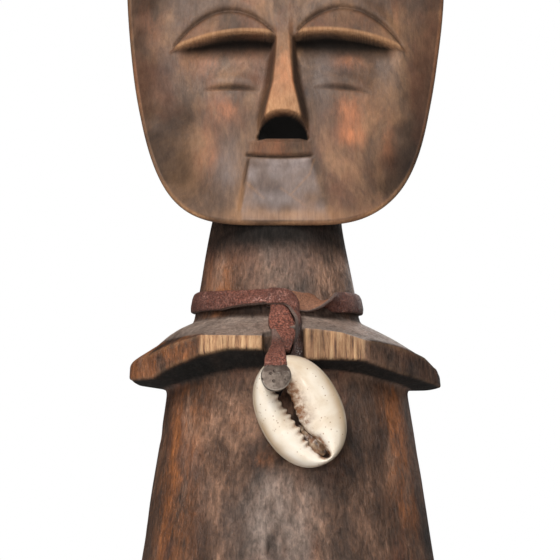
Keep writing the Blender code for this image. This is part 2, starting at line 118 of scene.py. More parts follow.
def through(knots, count):
    """A smooth run through rows of numbers: Catmull-Rom between each two rows, at even steps."""
    knots = np.asarray(knots, float)
    t = np.linspace(0.0, len(knots) - 1.0, count)
    i = np.clip(np.floor(t).astype(int), 0, len(knots) - 2)
    t = (t - i)[:, None]
    near = np.concatenate([knots[:1], knots, knots[-1:]])
    a, b, c, d = near[i], near[i + 1], near[i + 2], near[i + 3]
    square = 2 * a - 5 * b + 4 * c - d
    cube = 3 * b - a - 3 * c + d
    return (2 * b + (c - a) * t + square * t**2 + cube * t**3) * 0.5


def averaged(rows, passes):
    """Eases the corners across the rows: each becomes half itself and a quarter of each neighbour."""
    for _ in range(passes):
        inner = rows[1:-1] * 0.5 + (rows[:-2] + rows[2:]) * 0.25
        rows = np.concatenate([rows[:1], inner, rows[-1:]])
    return rows


def make_piece(name, rows, masks, look, body, nodes, ring=False):
    """A closed mesh of a grid of points in millimetres, with its masks as numbers on the points.

    Quads join each row to the next, and each row closes on itself. The first and last rows fan in to
    their middles, or join each other if the grid is a ring. The volume's sign turns the faces outward.
    """
    count, across, _ = rows.shape
    numbers = np.arange(count * across).reshape(count, across)
    beside = np.roll(numbers, -1, axis=1)
    if ring:
        low, high = numbers, np.roll(numbers, -1, axis=0)
        low_beside, high_beside = beside, np.roll(beside, -1, axis=0)
    else:
        low, high = numbers[:-1], numbers[1:]
        low_beside, high_beside = beside[:-1], beside[1:]
    quads = np.stack([low, low_beside, high_beside, high], axis=-1).reshape(-1, 4)
    points = rows.reshape(-1, 3)
    fans = np.zeros((0, 3), int)
    if not ring:
        points = np.concatenate([points, rows[0].mean(axis=0)[None], rows[-1].mean(axis=0)[None]])
        first = np.full(across, count * across)
        foot = np.stack([first, beside[0], numbers[0]], axis=-1)
        head = np.stack([first + 1, numbers[-1], beside[-1]], axis=-1)
        fans = np.concatenate([foot, head])
    halves = np.concatenate([quads[:, [0, 1, 2]], quads[:, [0, 2, 3]], fans])
    a, b, c = (points[halves[:, k]] for k in range(3))
    if np.einsum("ij,ij->", a, np.cross(b, c)) < 0:
        quads, fans = quads[:, ::-1], fans[:, ::-1]
    corners = np.concatenate([quads.ravel(), fans.ravel()]).astype(np.int32)
    starts = np.concatenate([np.arange(len(quads)) * 4, len(quads) * 4 + np.arange(len(fans)) * 3])
    mesh = bpy.data.meshes.new(name)
    mesh.vertices.add(len(points))
    mesh.vertices.foreach_set("co", (points * MM).ravel())
    mesh.loops.add(len(corners))
    mesh.loops.foreach_set("vertex_index", corners)
    mesh.polygons.add(len(starts))
    mesh.polygons.foreach_set("loop_start", starts.astype(np.int32))
    mesh.polygons.foreach_set("use_smooth", np.ones(len(starts), bool))
    mesh.update(calc_edges=True)
    mesh.validate()
    for label, values in masks.items():
        values = np.broadcast_to(values, (count, across))
        flat = values.ravel()
        if not ring:
            flat = np.concatenate([flat, [values[0].mean(), values[-1].mean()]])
        mesh.attributes.new(label, "FLOAT", "POINT").data.foreach_set("value", flat.astype(np.float32))
    mesh.materials.append(look)
    piece = bpy.data.objects.new(name, mesh)
    bpy.context.scene.collection.objects.link(piece)
    if isinstance(body, str):
        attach(piece, body)
    else:
        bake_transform(piece)
    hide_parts(*nodes)
    return piece


# ---------------------------------------------------------------- material helpers


TINT, NUMBER = "NodeSocketColor", "NodeSocketFloat"


def wire(tree, kind, sockets=None, **fields):
    """Adds a node. Each named socket takes a value, or a link where another node's socket is given."""
    made = tree.nodes.new(kind)
    for field, value in fields.items():
        setattr(made, field, value)
    for socket, value in (sockets or {}).items():
        if isinstance(value, bpy.types.NodeSocket):
            tree.links.new(value, made.inputs[socket])
        else:
            made.inputs[socket].default_value = value
    return made


def sums(tree, kind, a, b=0.5, c=0.5, clamp=False):
    """One step of arithmetic on up to three values."""
    return wire(tree, "ShaderNodeMath", {0: a, 1: b, 2: c}, operation=kind, use_clamp=clamp).outputs[0]


def stain_with(tree, share, under, over, kind="MIX"):
    """Lays one colour over another by a share."""
    sockets = {0: share, 6: under, 7: over}
    return wire(tree, "ShaderNodeMix", sockets, data_type="RGBA", blend_type=kind).outputs[2]


def climb(tree, share, start, end):
    """0 up to the start and 1 from the end on, straight between them. The end may be the lower one."""
    return sums(tree, "MULTIPLY_ADD", share, 1.0 / (end - start), start / (start - end), True)


def three_tones(tree, share, places, tones):
    """Three colours by a share: the first to the second between two places, then on to the third."""
    first, second = climb(tree, share, *places[:2]), climb(tree, share, *places[1:])
    return stain_with(tree, second, stain_with(tree, first, tones[0], tones[1]), tones[2])


def swing(tree, share, places, rise, amount):
    """1 at the middle place, less by the amount at the low one, more by rise times it at the high one."""
    fall = sums(tree, "SUBTRACT", climb(tree, share, *places[:2]), 1.0)
    both = sums(tree, "MULTIPLY_ADD", climb(tree, share, *places[1:]), rise, fall)
    return sums(tree, "MULTIPLY_ADD", both, amount, 1.0)


def grain(tree, place, size, scale, detail=4.0, rough=0.55, twist=0.0, at=(0.0, 0.0, 0.0)):
    """Cloudy noise of a scale, after stretching and moving the place it is read at."""
    moved = wire(tree, "ShaderNodeMapping", {"Vector": place, "Location": at, "Scale": size})
    sockets = {"Vector": moved.outputs[0], "Scale": scale, "Detail": detail}
    sockets.update({"Roughness": rough, "Distortion": twist})
    return wire(tree, "ShaderNodeTexNoise", sockets).outputs[0]


def mask(tree, name):
    """A number kept on the points of the mesh."""
    return wire(tree, "ShaderNodeAttribute", None, attribute_name=name).outputs["Fac"]


def colour(r, g, b):
    """A solid colour given in display numbers from 0 to 255, as the light that it stands for."""
    values = np.array([r, g, b]) / 255.0
    light = np.where(values < 0.04045, values / 12.92, ((values + 0.055) / 1.055) ** 2.4)
    return (*(float(v) for v in light), 1.0)


def new_group(name, inputs=()):
    """A node group with named inputs that puts out a colour, a roughness and a normal."""
    tree = bpy.data.node_groups.new(name, "ShaderNodeTree")
    for label, kind in inputs:
        tree.interface.new_socket(label, in_out="INPUT", socket_type=kind)
    for label, kind in (("Colour", TINT), ("Roughness", NUMBER), ("Normal", "NodeSocketVector")):
        tree.interface.new_socket(label, in_out="OUTPUT", socket_type=kind)
    return tree, wire(tree, "ShaderNodeTexCoord").outputs["Object"]


def end_group(tree, tint, gloss, height, strength, distance):
    """Ends a group: its colour and roughness as they are, and its bumps as a normal."""
    sockets = {"Strength": strength, "Distance": distance, "Height": height}
    skin = wire(tree, "ShaderNodeBump", sockets).outputs[0]
    wire(tree, "NodeGroupOutput", {"Colour": tint, "Roughness": gloss, "Normal": skin})
    return tree


def new_material(name, group=None, values=None, **constants):
    """A material with its own Principled shader, fed by a group that is given this material's values."""
    made = bpy.data.materials.new(name)
    made.use_nodes = True
    tree = made.node_tree
    shader = tree.nodes["Principled BSDF"]
    for socket, value in constants.items():
        shader.inputs[socket.replace("_", " ")].default_value = value
    if group:
        holder = wire(tree, "ShaderNodeGroup", values, node_tree=group)
        for output, socket in (("Colour", "Base Color"), ("Roughness", "Roughness"), ("Normal", "Normal")):
            tree.links.new(holder.outputs[output], shader.inputs[socket])
    return made


# ---------------------------------------------------------------- wood


PATINA = ("Dark", "Middle", "Light")
RUBBED = ("Rubbed dark", "Rubbed middle", "Rubbed light")


def wood_tone():
    """Old oiled wood: clouds of brown and grey, lengthwise streaks, and masks of wear and painted light.

    The masks are bare (rubbed pale), ochre (warm worn patches), dust_and_sheen (grey dust with a painted
    sheen) and painted_shade (near black painted shade in undercuts, creases and shadowed places). Each
    wood sets its own cloud scale, colours, streaks, flecks and relief.
    """
    inputs = [(label, TINT) for label in (*PATINA, "Amber", *RUBBED, "Dust and sheen")]
    inputs = inputs + [(label, NUMBER) for label in ("Cloud scale", "Streaks", "Flecks", "Relief")]
    tree, place = new_group("old oiled wood", inputs)
    given = tree.nodes.new("NodeGroupInput").outputs
    cloud, streaks, flecks = given["Cloud scale"], given["Streaks"], given["Flecks"]
    clouds = grain(tree, place, (1, 1, 0.6), cloud, 9.0, 0.66, 0.5)
    tone = three_tones(tree, clouds, (0.34, 0.5, 0.64), [given[label] for label in PATINA])
    closer = sums(tree, "MULTIPLY", cloud, 0.8)
    warm = grain(tree, place, (1, 1, 0.55), closer, 7.0, 0.62, 0.4, (0.31, 0.1, 0.2))
    warm = sums(tree, "MULTIPLY_ADD", warm, 6.0, -3.0, True)
    tone = stain_with(tree, sums(tree, "MULTIPLY", warm, 0.55), tone, colour(126, 80, 58))
    close = sums(tree, "MULTIPLY", cloud, 0.9)
    dry = grain(tree, place, (1, 1, 0.7), close, 7.0, 0.66, 0.3, (0.7, 0.4, 0.9))
    dry = sums(tree, "MULTIPLY_ADD", dry, 6.0, -3.1, True)
    tone = stain_with(tree, sums(tree, "MULTIPLY", dry, 0.5), tone, colour(92, 76, 69))
    small = sums(tree, "MULTIPLY", cloud, 2.2)
    ragged = grain(tree, place, (1, 1, 0.4), small, 8.0, 0.72, 0.3, (0.2, 0.8, 0.1))
    ragged = sums(tree, "MULTIPLY_ADD", ragged, 4.6, -1.85)
    worn = sums(tree, "MULTIPLY", mask(tree, "ochre"), ragged, clamp=True)
    tone = stain_with(tree, worn, tone, given["Amber"])
    # Dust and painted sheen: a paler grey laid unevenly where the dust_and_sheen mask is set.
    uneven = sums(tree, "MULTIPLY_ADD", dry, 0.4, 0.6)
    dust_and_sheen_share = sums(tree, "MULTIPLY", mask(tree, "dust_and_sheen"), uneven, clamp=True)
    tone = stain_with(tree, dust_and_sheen_share, tone, given["Dust and sheen"])
    lines = grain(tree, place, (1, 1, 0.2), 1500.0, 6.0, 0.7, 0.15)
    streaked = swing(tree, lines, (0.32, 0.5, 0.7), 0.6, streaks)
    tone = stain_with(tree, 1.0, tone, streaked, "MULTIPLY")
    specks = grain(tree, place, (1, 1, 0.45), 1000.0, 6.0, 0.75, 0.2, (0.6, 0.9, 0.4))
    speckled = swing(tree, specks, (0.34, 0.5, 0.66), 1.4, flecks)
    tone = stain_with(tree, 1.0, tone, speckled, "MULTIPLY")
    fine = grain(tree, place, (1, 1, 0.16), 2400.0, 3.0, 0.65, 0.0, (0.5, 0.2, 0.0))
    pores = climb(tree, fine, 0.38, 0.3)
    strips = grain(tree, place, (1, 1, 0.05), 1500.0, 5.0, 0.7, 0.1, (0.9, 0.1, 0.0))
    pale = three_tones(tree, strips, (0.36, 0.45, 0.62), [given[label] for label in RUBBED])
    rubbed = sums(tree, "MULTIPLY_ADD", ragged, 0.25, 0.75)
    rubbed = sums(tree, "MULTIPLY", mask(tree, "bare"), rubbed, clamp=True)
    tone = stain_with(tree, rubbed, tone, pale)
    tone = stain_with(tree, sums(tree, "MULTIPLY", pores, streaks), tone, colour(40, 27, 22))
    # Painted shade: near black wherever the painted_shade mask is set.
    tone = stain_with(tree, mask(tree, "painted_shade"), tone, colour(4, 3, 2))
    dents = grain(tree, place, (1, 1, 0.55), 240.0, 3.0, 0.55, 0.3, (0.4, 0.6, 0.3))
    height = sums(tree, "MULTIPLY_ADD", dents, 1.2, sums(tree, "MULTIPLY", lines, 0.7))
    height = sums(tree, "SUBTRACT", height, sums(tree, "MULTIPLY", pores, 0.2))
    height = sums(tree, "MULTIPLY_ADD", specks, sums(tree, "MULTIPLY", flecks, 2.0), height)
    low, high = climb(tree, specks, 0.38, 0.5), climb(tree, specks, 0.5, 0.62)
    polish = sums(tree, "MULTIPLY_ADD", high, 0.25, sums(tree, "MULTIPLY", low, 0.3))
    gloss = sums(tree, "MULTIPLY_ADD", low, -0.04, 0.54)
    gloss = sums(tree, "SUBTRACT", gloss, sums(tree, "MULTIPLY", polish, flecks))
    gloss = sums(tree, "MULTIPLY_ADD", mask(tree, "bare"), 0.3, gloss)
    gloss = sums(tree, "MULTIPLY_ADD", mask(tree, "painted_shade"), 0.6, gloss, True)
    return end_group(tree, tone, gloss, height, given["Relief"], 0.0006)


oiled_wood = wood_tone()
head_values = {
    "Dark": colour(58, 42, 34),
    "Middle": colour(97, 73, 56),
    "Light": colour(142, 107, 79),
    "Amber": colour(186, 118, 80),
    "Rubbed dark": colour(164, 120, 85),
    "Rubbed middle": colour(180, 134, 95),
    "Rubbed light": colour(198, 152, 112),
    "Dust and sheen": colour(142, 129, 126),
    "Cloud scale": 75.0,
    "Streaks": 0.1,
    "Flecks": 0.12,
    "Relief": 0.2,
}
trunk_values = {
    "Dark": colour(40, 28, 22),
    "Middle": colour(92, 67, 52),
    "Light": colour(150, 114, 92),
    "Amber": colour(160, 98, 54),
    "Rubbed dark": colour(96, 70, 58),
    "Rubbed middle": colour(196, 148, 108),
    "Rubbed light": colour(240, 198, 152),
    "Dust and sheen": colour(186, 166, 154),
    "Cloud scale": 95.0,
    "Streaks": 0.3,
    "Flecks": 0.42,
    "Relief": 1.0,
}
head_wood = new_material("head_wood", oiled_wood, head_values, Specular_IOR_Level=0.3)
trunk_wood = new_material("trunk_wood", oiled_wood, trunk_values, Specular_IOR_Level=0.42)


# ---------------------------------------------------------------- the carved head


def plate_reach(turn):
    """How far the plate reaches from its middle point, by the angle from straight down.

    The outline is where |x / half width| to a power, plus (height from the widest line / reach) squared,
    is 1: blunt below the widest line and rounder above. Halving steps close in on that distance.
    """
    near, far = np.zeros_like(turn), np.full_like(turn, 120.0)
    for _ in range(40):
        half_way = (near + far) / 2
        x, up = half_way * np.sin(turn), PLATE_MIDDLE - half_way * np.cos(turn) - HEAD_LOWER
        below = np.abs(x / HEAD_HALF_WIDTH) ** CHIN_POWER + (up / HEAD_LOWER) ** 2
        above = np.abs(x / HEAD_HALF_WIDTH) ** CROWN_POWER + (up / HEAD_UPPER) ** 2
        inside = np.where(up < 0, below, above) < 1.0
        near, far = np.where(inside, half_way, near), np.where(inside, far, half_way)
    return near


def patch(x, h, at_x, at_h, wide, tall):
    """A soft oval spot: the exponential of minus the squared distances."""
    return np.exp(-(((x - at_x) / wide) ** 2) - ((h - at_h) / tall) ** 2)


def spots(x, h, rows):
    """A sum of soft oval spots, each from its strength, its place and its half sizes."""
    return sum(strength * patch(x, h, *spot) for strength, *spot in rows)


def scratch(x, h, start, end):
    """A fine scratch: the exponential of the square of the distance from a straight stroke."""
    dx, dh = end[0] - start[0], end[1] - start[1]
    along = np.clip(((x - start[0]) * dx + (h - start[1]) * dh) / (dx * dx + dh * dh), 0.0, 1.0)
    return hump(np.hypot(x - start[0] - along * dx, h - start[1] - along * dh), 0.2)


FACE_OCHRE = (
    (0.8, -13.4, 25.0, 3.4, 2.8),
    (0.65, -17.3, 15.0, 2.4, 5.2),
    (0.95, 14.6, 18.9, 2.8, 2.2),
    (0.7, 14.0, 25.0, 3.8, 4.6),
    (0.4, -16.0, 36.0, 8.0, 4.0),
    (0.6, 14.4, 36.3, 3.4, 1.9),
    (0.4, 23.8, 44.5, 1.6, 5.0),
    (0.4, -9.0, 53.0, 6.0, 4.0),
    (0.5, 22.0, 18.0, 2.2, 6.0),
    (0.4, -30.0, 46.0, 3.0, 6.0),
)
# Spots of painted shade on the face, towards the jaws and sides: strength, x, h, half width, half height.
FACE_SHADE_SPOTS = (
    (0.32, -22.0, 23.0, 4.5, 5.0),
    (0.2, 30.0, 33.0, 4.0, 12.0),
    (0.25, -31.0, 31.0, 3.0, 6.0),
    (0.3, 24.0, 10.0, 7.0, 5.0),
    (0.5, -25.0, 14.0, 6.0, 8.0),
    (0.25, 27.0, 17.0, 7.0, 9.0),
    (0.22, -33.0, 54.0, 9.0, 10.0),
)


def face_relief(x, h):
    """How far the carving stands out of the plate at (x across, h above the chin), and its masks.

    Each brow is a crescent between two arcs: its middle line's height plus an arch of a power of a sine.
    Below its low arc the socket drops in one step and slopes out again to the cheek. The nose is a
    wedge: a flat ridge and two sides that run down to its foot. Lips, eyes and chin are shallow cuts.
    """
    right = x > 0
    away = np.abs(x)
    outer = np.where(right, 26.5, 25.5)
    t = np.clip((away - 2.2) / (outer - 2.2), 0.0, 1.0)
    bend = np.sin(np.pi * t)
    middle_line = 41.8 - 3.4 * t * t + np.where(right, 0.3, 0.0)
    low = middle_line + bend**0.8
    high = middle_line + bend**0.75 * np.where(right, 7.3, 6.8)
    there = ease((away - 1.4) / 1.2) * ease((outer + 0.6 - away) / 1.6)
    v = (h - low) / np.maximum(high - low, 0.3)
    lobe = 0.3 + 0.6 * np.sqrt(np.clip(1.0 - ((v - 0.35) / 0.68) ** 2, 0.0, 1.0))
    on_lobe = ease(v / 0.06) * ease((1.04 - v) / 0.08) * there
    tall = high - low
    lip = ease((h - low + 0.05) / 0.2) * ease((low + 1.35 - h) / 0.5) * there * ease((tall - 0.6) / 1.2)
    drop = np.clip((low - h) / 16.0, 0.0, 1.0)
    socket = 3.2 * (1.0 - 0.55 * t * t) * ease((outer - away) / 7.0) * (1.0 - drop) ** 1.5
    socket = socket * ease((low - h) / 0.5) * there * ease((h - 20.0) / 8.0)
    flank_dark = 0.45 + 0.55 * ease(np.abs(t - 0.42) / 0.35)
    crease = hump(h - high, 0.6) * there * ease(tall - 0.3)
    out = lobe * on_lobe + 0.1 * lip - socket - 0.55 * crease
    out = out + 0.3 * hump(h - high - 1.7, 1.8) * there * ease((tall - 1.0) / 3.0)
    # Painted shade: on the brow lobes, in the crease above them and just above it, darker on the brows'
    # sides, and a painted shadow in the socket under each brow.
    over_brow = hump(h - high - 0.4, 1.2) * 0.2 * there * flank_dark
    painted_shade = 0.2 * on_lobe + 0.34 * crease * flank_dark + over_brow
    shadow = ease((low - 0.1 - h) / 0.35) * ease((h - 36.4 + 0.6 * t) / 4.4)
    painted_shade = np.maximum(painted_shade, 0.94 * shadow * there * ease((outer - 1.0 - away) / 3.0))
    bare = 0.85 * lip

    nose_x = x + 0.6
    off = np.abs(nose_x)
    ridge = np.interp(h, [23.0, 33.0, 43.9, 47.0], [4.6, 2.2, 0.35, 0.0])
    flat = np.interp(h, [22.5, 25.0, 30.5, 38.0, 43.0], [3.8, 3.3, 2.1, 1.5, 1.3])
    foot = np.interp(h, [18.2, 22.5, 25.0, 30.5, 38.0, 43.0], [5.6, 5.6, 5.2, 4.0, 3.1, 2.3])
    side = ease((off - flat + 0.25) / np.maximum(foot - flat + 0.25, 0.2))
    side = 0.65 * side + 0.35 * np.clip((off - flat) / np.maximum(foot - flat, 0.2), 0.0, 1.0)
    above_foot = ease((h - 17.7) / 0.7) * ease((49.0 - h) / 3.0)
    on_nose = (1.0 - side) * above_foot
    out = mix(out, ridge, on_nose)
    arch = 18.2 + 5.2 * np.sqrt(np.clip(1.0 - (nose_x / 5.6) ** 2, 0.0, 1.0))
    under = ease((arch - h) / 0.5) * ease((h - 17.9) / 0.3) * (off < 5.6)
    hollow = mix(-0.9, 1.6, np.clip((h - 18.2) / 5.2, 0.0, 1.0) ** 2)
    out = mix(out, np.minimum(out, hollow), under)
    # Painted shade under the nose, taken off its ridge, and on its sides.
    painted_shade = np.maximum(painted_shade * (1.0 - (1.0 - side) * ease((h - 24.0) / 2.0)), under)
    flank = ease((off - flat) / 0.8) * ease((foot + 0.8 - off) / 0.8)
    flank = flank * ease((h - 20.0) / 4.0) * ease((44.0 - h) / 3.0)
    painted_shade = np.maximum(painted_shade, 0.42 * flank * np.where(right, 1.25, 1.0))
    tip = ease((31.0 - h) / 8.0)
    on_ridge = ease((flat + 0.35 - off) / 0.7) * ease(h - 21.0) * ease((45.0 - h) / 5.0)
    bare = np.maximum(bare, on_ridge * (0.38 + 0.42 * tip) * (1.0 - under))
    warm_ridge = on_ridge * (1.0 - 0.5 * tip)

    eye = (away - np.where(right, 12.7, 12.0)) / 6.4
    slope = np.where(right, -0.09 * (away - 12.7), 0.02 * (away - 12.0))
    lid = 29.4 + 0.75 * (1.0 - eye**2) + slope
    closed = np.clip(1.0 - eye**2, 0.0, 1.0)
    slit = hump(h - lid, 0.18 + 0.3 * closed) * closed**0.8
    out = out - 0.6 * slit + 0.3 * hump(h - lid - 1.8, 1.6) * ease((1.1 - np.abs(eye)) / 0.5)
    # Painted shade in the eye slits.
    painted_shade = np.maximum(painted_shade, 0.7 * slit)

    mouth_x = x + 1.4
    line = 14.7 - 0.4 * (1.0 - (mouth_x / 7.2) ** 2)
    wide = ease((7.6 - np.abs(mouth_x)) / 0.8)
    lip_plane = ease((h - line) / 0.4) * ease((18.3 - h) / 0.8) * ease((7.6 - np.abs(mouth_x)) / 3.2)
    out = out + 0.3 * lip_plane * (1.0 - under)
    mouth = hump(h - line, 0.34) * wide
    out = out - 0.6 * mouth + 0.2 * hump(h - line + 1.3, 0.8) * wide
    # Painted shade in the mouth's groove, and over the upper lip under the nose.
    painted_shade = most(painted_shade, 0.78 * mouth, 0.35 * lip_plane)

    left_cut = -8.1 - 1.8 * np.clip((13.8 - h) / 11.6, 0.0, 1.0)
    right_cut = 6.2 + 1.3 * np.clip((13.3 - h) / 4.4, 0.0, 1.0) + 3.0 * np.clip((8.9 - h) / 9.0, 0.0, 1.0)
    below_mouth = ease((line - 0.2 - h) / 0.6)
    on_chin = ease((x - left_cut) / 0.5) * ease((right_cut - x) / 1.6) * below_mouth
    out = out - 0.3 * on_chin * ease((right_cut - x) / 7.0)
    cut = hump(x - left_cut, 0.28) * ease((h - 1.6) / 1.5) * ease(14.0 - h)
    out = out - 0.5 * cut
    # Painted shade in the cut down the chin's left side.
    painted_shade = np.maximum(painted_shade, 0.6 * cut * ease((h - 4.0) / 6.0))
    cut_edge = hump(x - left_cut + 0.5, 0.4) * ease((h - 1.6) / 1.5) * ease((9.0 - h) / 3.0)
    marks = scratch(x, h, (6.2, 13.6), (5.2, 10.4)) + scratch(x, h, (5.2, 10.4), (1.0, 5.9))
    marks = marks + scratch(x, h, (-8.6, 8.6), (-4.8, 5.2)) + scratch(x, h, (-1.0, 7.4), (4.0, 3.8))
    bare = most(bare, 0.5 * cut_edge, 0.3 * np.clip(marks, 0.0, 1.0))
    # Dust and painted sheen: paler grey over the chin plane, beside the mouth and on the right cheek.
    cloudy = 0.75 + 0.5 * lumps(np.stack([x, 0.0 * x, h], axis=-1), 2.6, 5)
    beside_mouth = 0.5 * patch(x, h, -12.5, 12.0, 2.6, 6.0)
    dust_and_sheen = most(on_chin * cloudy, beside_mouth, 0.35 * patch(x, h, 8.6, 33.0, 2.2, 9.0))

    ochre = 0.8 * warm_ridge + 0.5 * lip_plane + 0.2 * on_lobe + spots(x, h, FACE_OCHRE)
    return out, bare, painted_shade, np.clip(ochre, 0.0, 1.0), dust_and_sheen


def lean_head(x, y, h):
    """From the plate's own frame to the figure's: it leans back about the chin."""
    c, s = math.cos(HEAD_LEAN), math.sin(HEAD_LEAN)
    points = np.stack([x, y * c + h * s, h * c - y * s], axis=-1)
    return points + np.array(HEAD_AT)


def build_head():
    """The plate as rings about its middle point: out over the front, round the edge, and in over the back.

    A front ring is a share of the outline less the corner, and its face swells by 1 less a power of the
    share. A corner is a quarter turn, and the edge under the chin is cut back towards the neck. The rings
    lie close over the face and wide over the back, and the columns crowd towards the chin.
    """
    s = np.linspace(-1.0, 1.0, HEAD_COLUMNS, endpoint=False)
    turn = np.pi * (0.62 * s + 0.38 * s**3)
    reach = plate_reach(turn)
    chin = ease((np.cos(turn) - 0.6) / 0.32)
    reach = reach + 0.7 * chin + 0.7 * hump(turn + 0.46, 0.18) - 0.3 * hump(turn - 0.38, 0.12)
    reach = reach + 0.35 * hump(turn + 0.78, 0.25) - 0.2 * hump(turn - 1.0, 0.3)
    outline = np.stack([reach * np.sin(turn), 0 * s, -reach * np.cos(turn)], axis=-1)
    reach = reach + 0.25 * lumps(outline, 17.0, 3)
    share = np.concatenate([[0.01, 0.03, 0.055], np.linspace(0.08, 1.0, FACE_RINGS)])[:, None]
    quarter = np.linspace(0.0, np.pi / 2, 6)[1:, None]
    r_front = share * (reach - PLATE_CORNER)
    r_turn = reach - PLATE_CORNER * (1.0 - np.sin(quarter))
    undercut = 3.2 * chin
    r_wall = reach + 0.12 - undercut * np.array([[0.2], [0.5], [0.8]])
    back_share = np.linspace(1.0, 0.02, 22)[:, None]
    r_back = back_share * (reach - undercut - PLATE_CORNER)
    r = np.concatenate([r_front, r_turn, r_wall, r_turn[::-1] - undercut, r_back])
    lift = np.concatenate(
        [
            PLATE_EDGE + 3.0 * (1.0 - (r_front / reach) ** 2.6),
            PLATE_EDGE + 0.2 - PLATE_CORNER * (1.0 - np.cos(quarter)) + 0.0 * reach,
            np.linspace(1.5, -1.5, 3)[:, None] + 0.0 * reach,
            -(PLATE_EDGE + 0.1 - PLATE_CORNER * (1.0 - np.cos(quarter[::-1]))) + 0.0 * reach,
            -(PLATE_EDGE + 2.1 * (1.0 - (r_back / reach) ** 2.6)),
        ]
    )
    x, h = r * np.sin(turn), PLATE_MIDDLE - r * np.cos(turn)
    front = np.zeros_like(r)
    front[: len(r_front)] = 1.0
    inward = ease((reach - r - PLATE_CORNER) / 2.4) * front
    out, bare, painted_shade, ochre, dust_and_sheen = face_relief(x, h)
    flat = np.stack([x, lift, h], axis=-1)
    knife = 0.09 * lumps(flat, (7.0, 7.0, 11.0), 1) + 0.035 * lumps(flat, (2.2, 2.2, 4.0), 2)
    back = 1.0 - front
    knife = knife * (1.0 + back * 1.6) * ease((reach - r) / 1.5)
    y = -(lift + out * inward) + knife
    rim = hump(reach - r - 0.3, 0.36) * (lift > 2.0)
    low_edge = ease((16.0 - h) / 12.0)
    edge_wear = rim * (0.1 + 0.6 * low_edge) * (0.75 + 0.6 * lumps(flat, 5.0, 4))
    edge_wear = edge_wear + 0.5 * hump(h - 1.2, 1.6) * hump((x - 2.0) / 16.0, 1.0) * front
    bare = np.maximum(bare * inward, np.clip(edge_wear, 0.0, 1.0))
    # Painted shade under the nape at the back, darker towards the face's edges, and in the listed spots.
    nape = back * ease((24.0 - h) / 6.0) * hump(x / 16.0, 1.0)
    painted_shade = np.maximum(painted_shade * inward, 0.35 * nape * (lift < -3.0))
    margin = 0.5 * ease((12.0 - reach + r) / 12.0) * ease((64.0 - h) / 10.0) * ease((h - 2.0) / 8.0)
    shade = margin + spots(x, h, FACE_SHADE_SPOTS)
    shade = np.minimum(shade * (0.9 + 0.5 * lumps(flat, 3.6, 0)), 0.58)
    painted_shade = np.maximum(painted_shade, shade * front)
    masks = {"bare": bare, "painted_shade": painted_shade, "ochre": ochre * front, "dust_and_sheen": dust_and_sheen * front}
    make_piece("carved_head", lean_head(x, y, h), masks, head_wood, "figure", ["carved_figure"])


# ---------------------------------------------------------------- the carved trunk


def oval(turn, cx, cy, rx, ry, z):
    """A ring of points, from the angle off the front."""
    level = np.broadcast_to(z, turn.shape)
    return np.stack([cx + rx * np.sin(turn), cy - ry * np.cos(turn), level], axis=-1)


def body_radii(z):
    """The body's half-widths across and along, going evenly from the foot to the top."""
    return mix(BASE_RX, BODY_TOP_RX, z / BODY_HEIGHT), mix(BASE_RY, BODY_TOP_RY, z / BODY_HEIGHT)


def rim_line(turn, heights):
    """A height of the rim by the angle off the front, straight between its corners, the same behind."""
    degrees = np.degrees(turn)
    folded = np.where(np.abs(degrees) > 90.0, np.sign(degrees) * 180.0 - degrees, degrees)
    places = (-90, -74, -57, -44, -31, -21, -8, 7, 11, 20, 28, 36, 46, 62, 71, 90)
    return np.interp(folded, places, heights)


def chord(turn, corners):
    """1 at the corners of a polygon drawn in a circle, and the chord's distance between them."""
    corners = np.radians(np.asarray(corners, float))
    k = np.clip(np.searchsorted(corners, turn, side="right") - 1, 0, len(corners) - 2)
    a, b = corners[k], corners[k + 1]
    return np.cos((b - a) / 2) / np.cos(turn - (a + b) / 2)


RIM_LOW = (75.8, 75.0, 74.8, 77.2, 79.3, 80.6, 80.3, 78.0, 78.0, 78.1, 78.0, 76.8, 75.5, 74.3, 73.9, 73.9)
RIM_HIGH = (78.4, 79.2, 80.4, 82.0, 83.4, 83.2, 83.0, 84.5, 84.4, 83.7, 82.3, 82.0, 81.2, 79.4, 77.5, 76.0)
SET_IN = (0.36, 0.42, 0.4, 0.25, 0.02, 0, 0, 0, 0, 0, 0, 0, 0.02, 0.12, 0.15, 0.15)


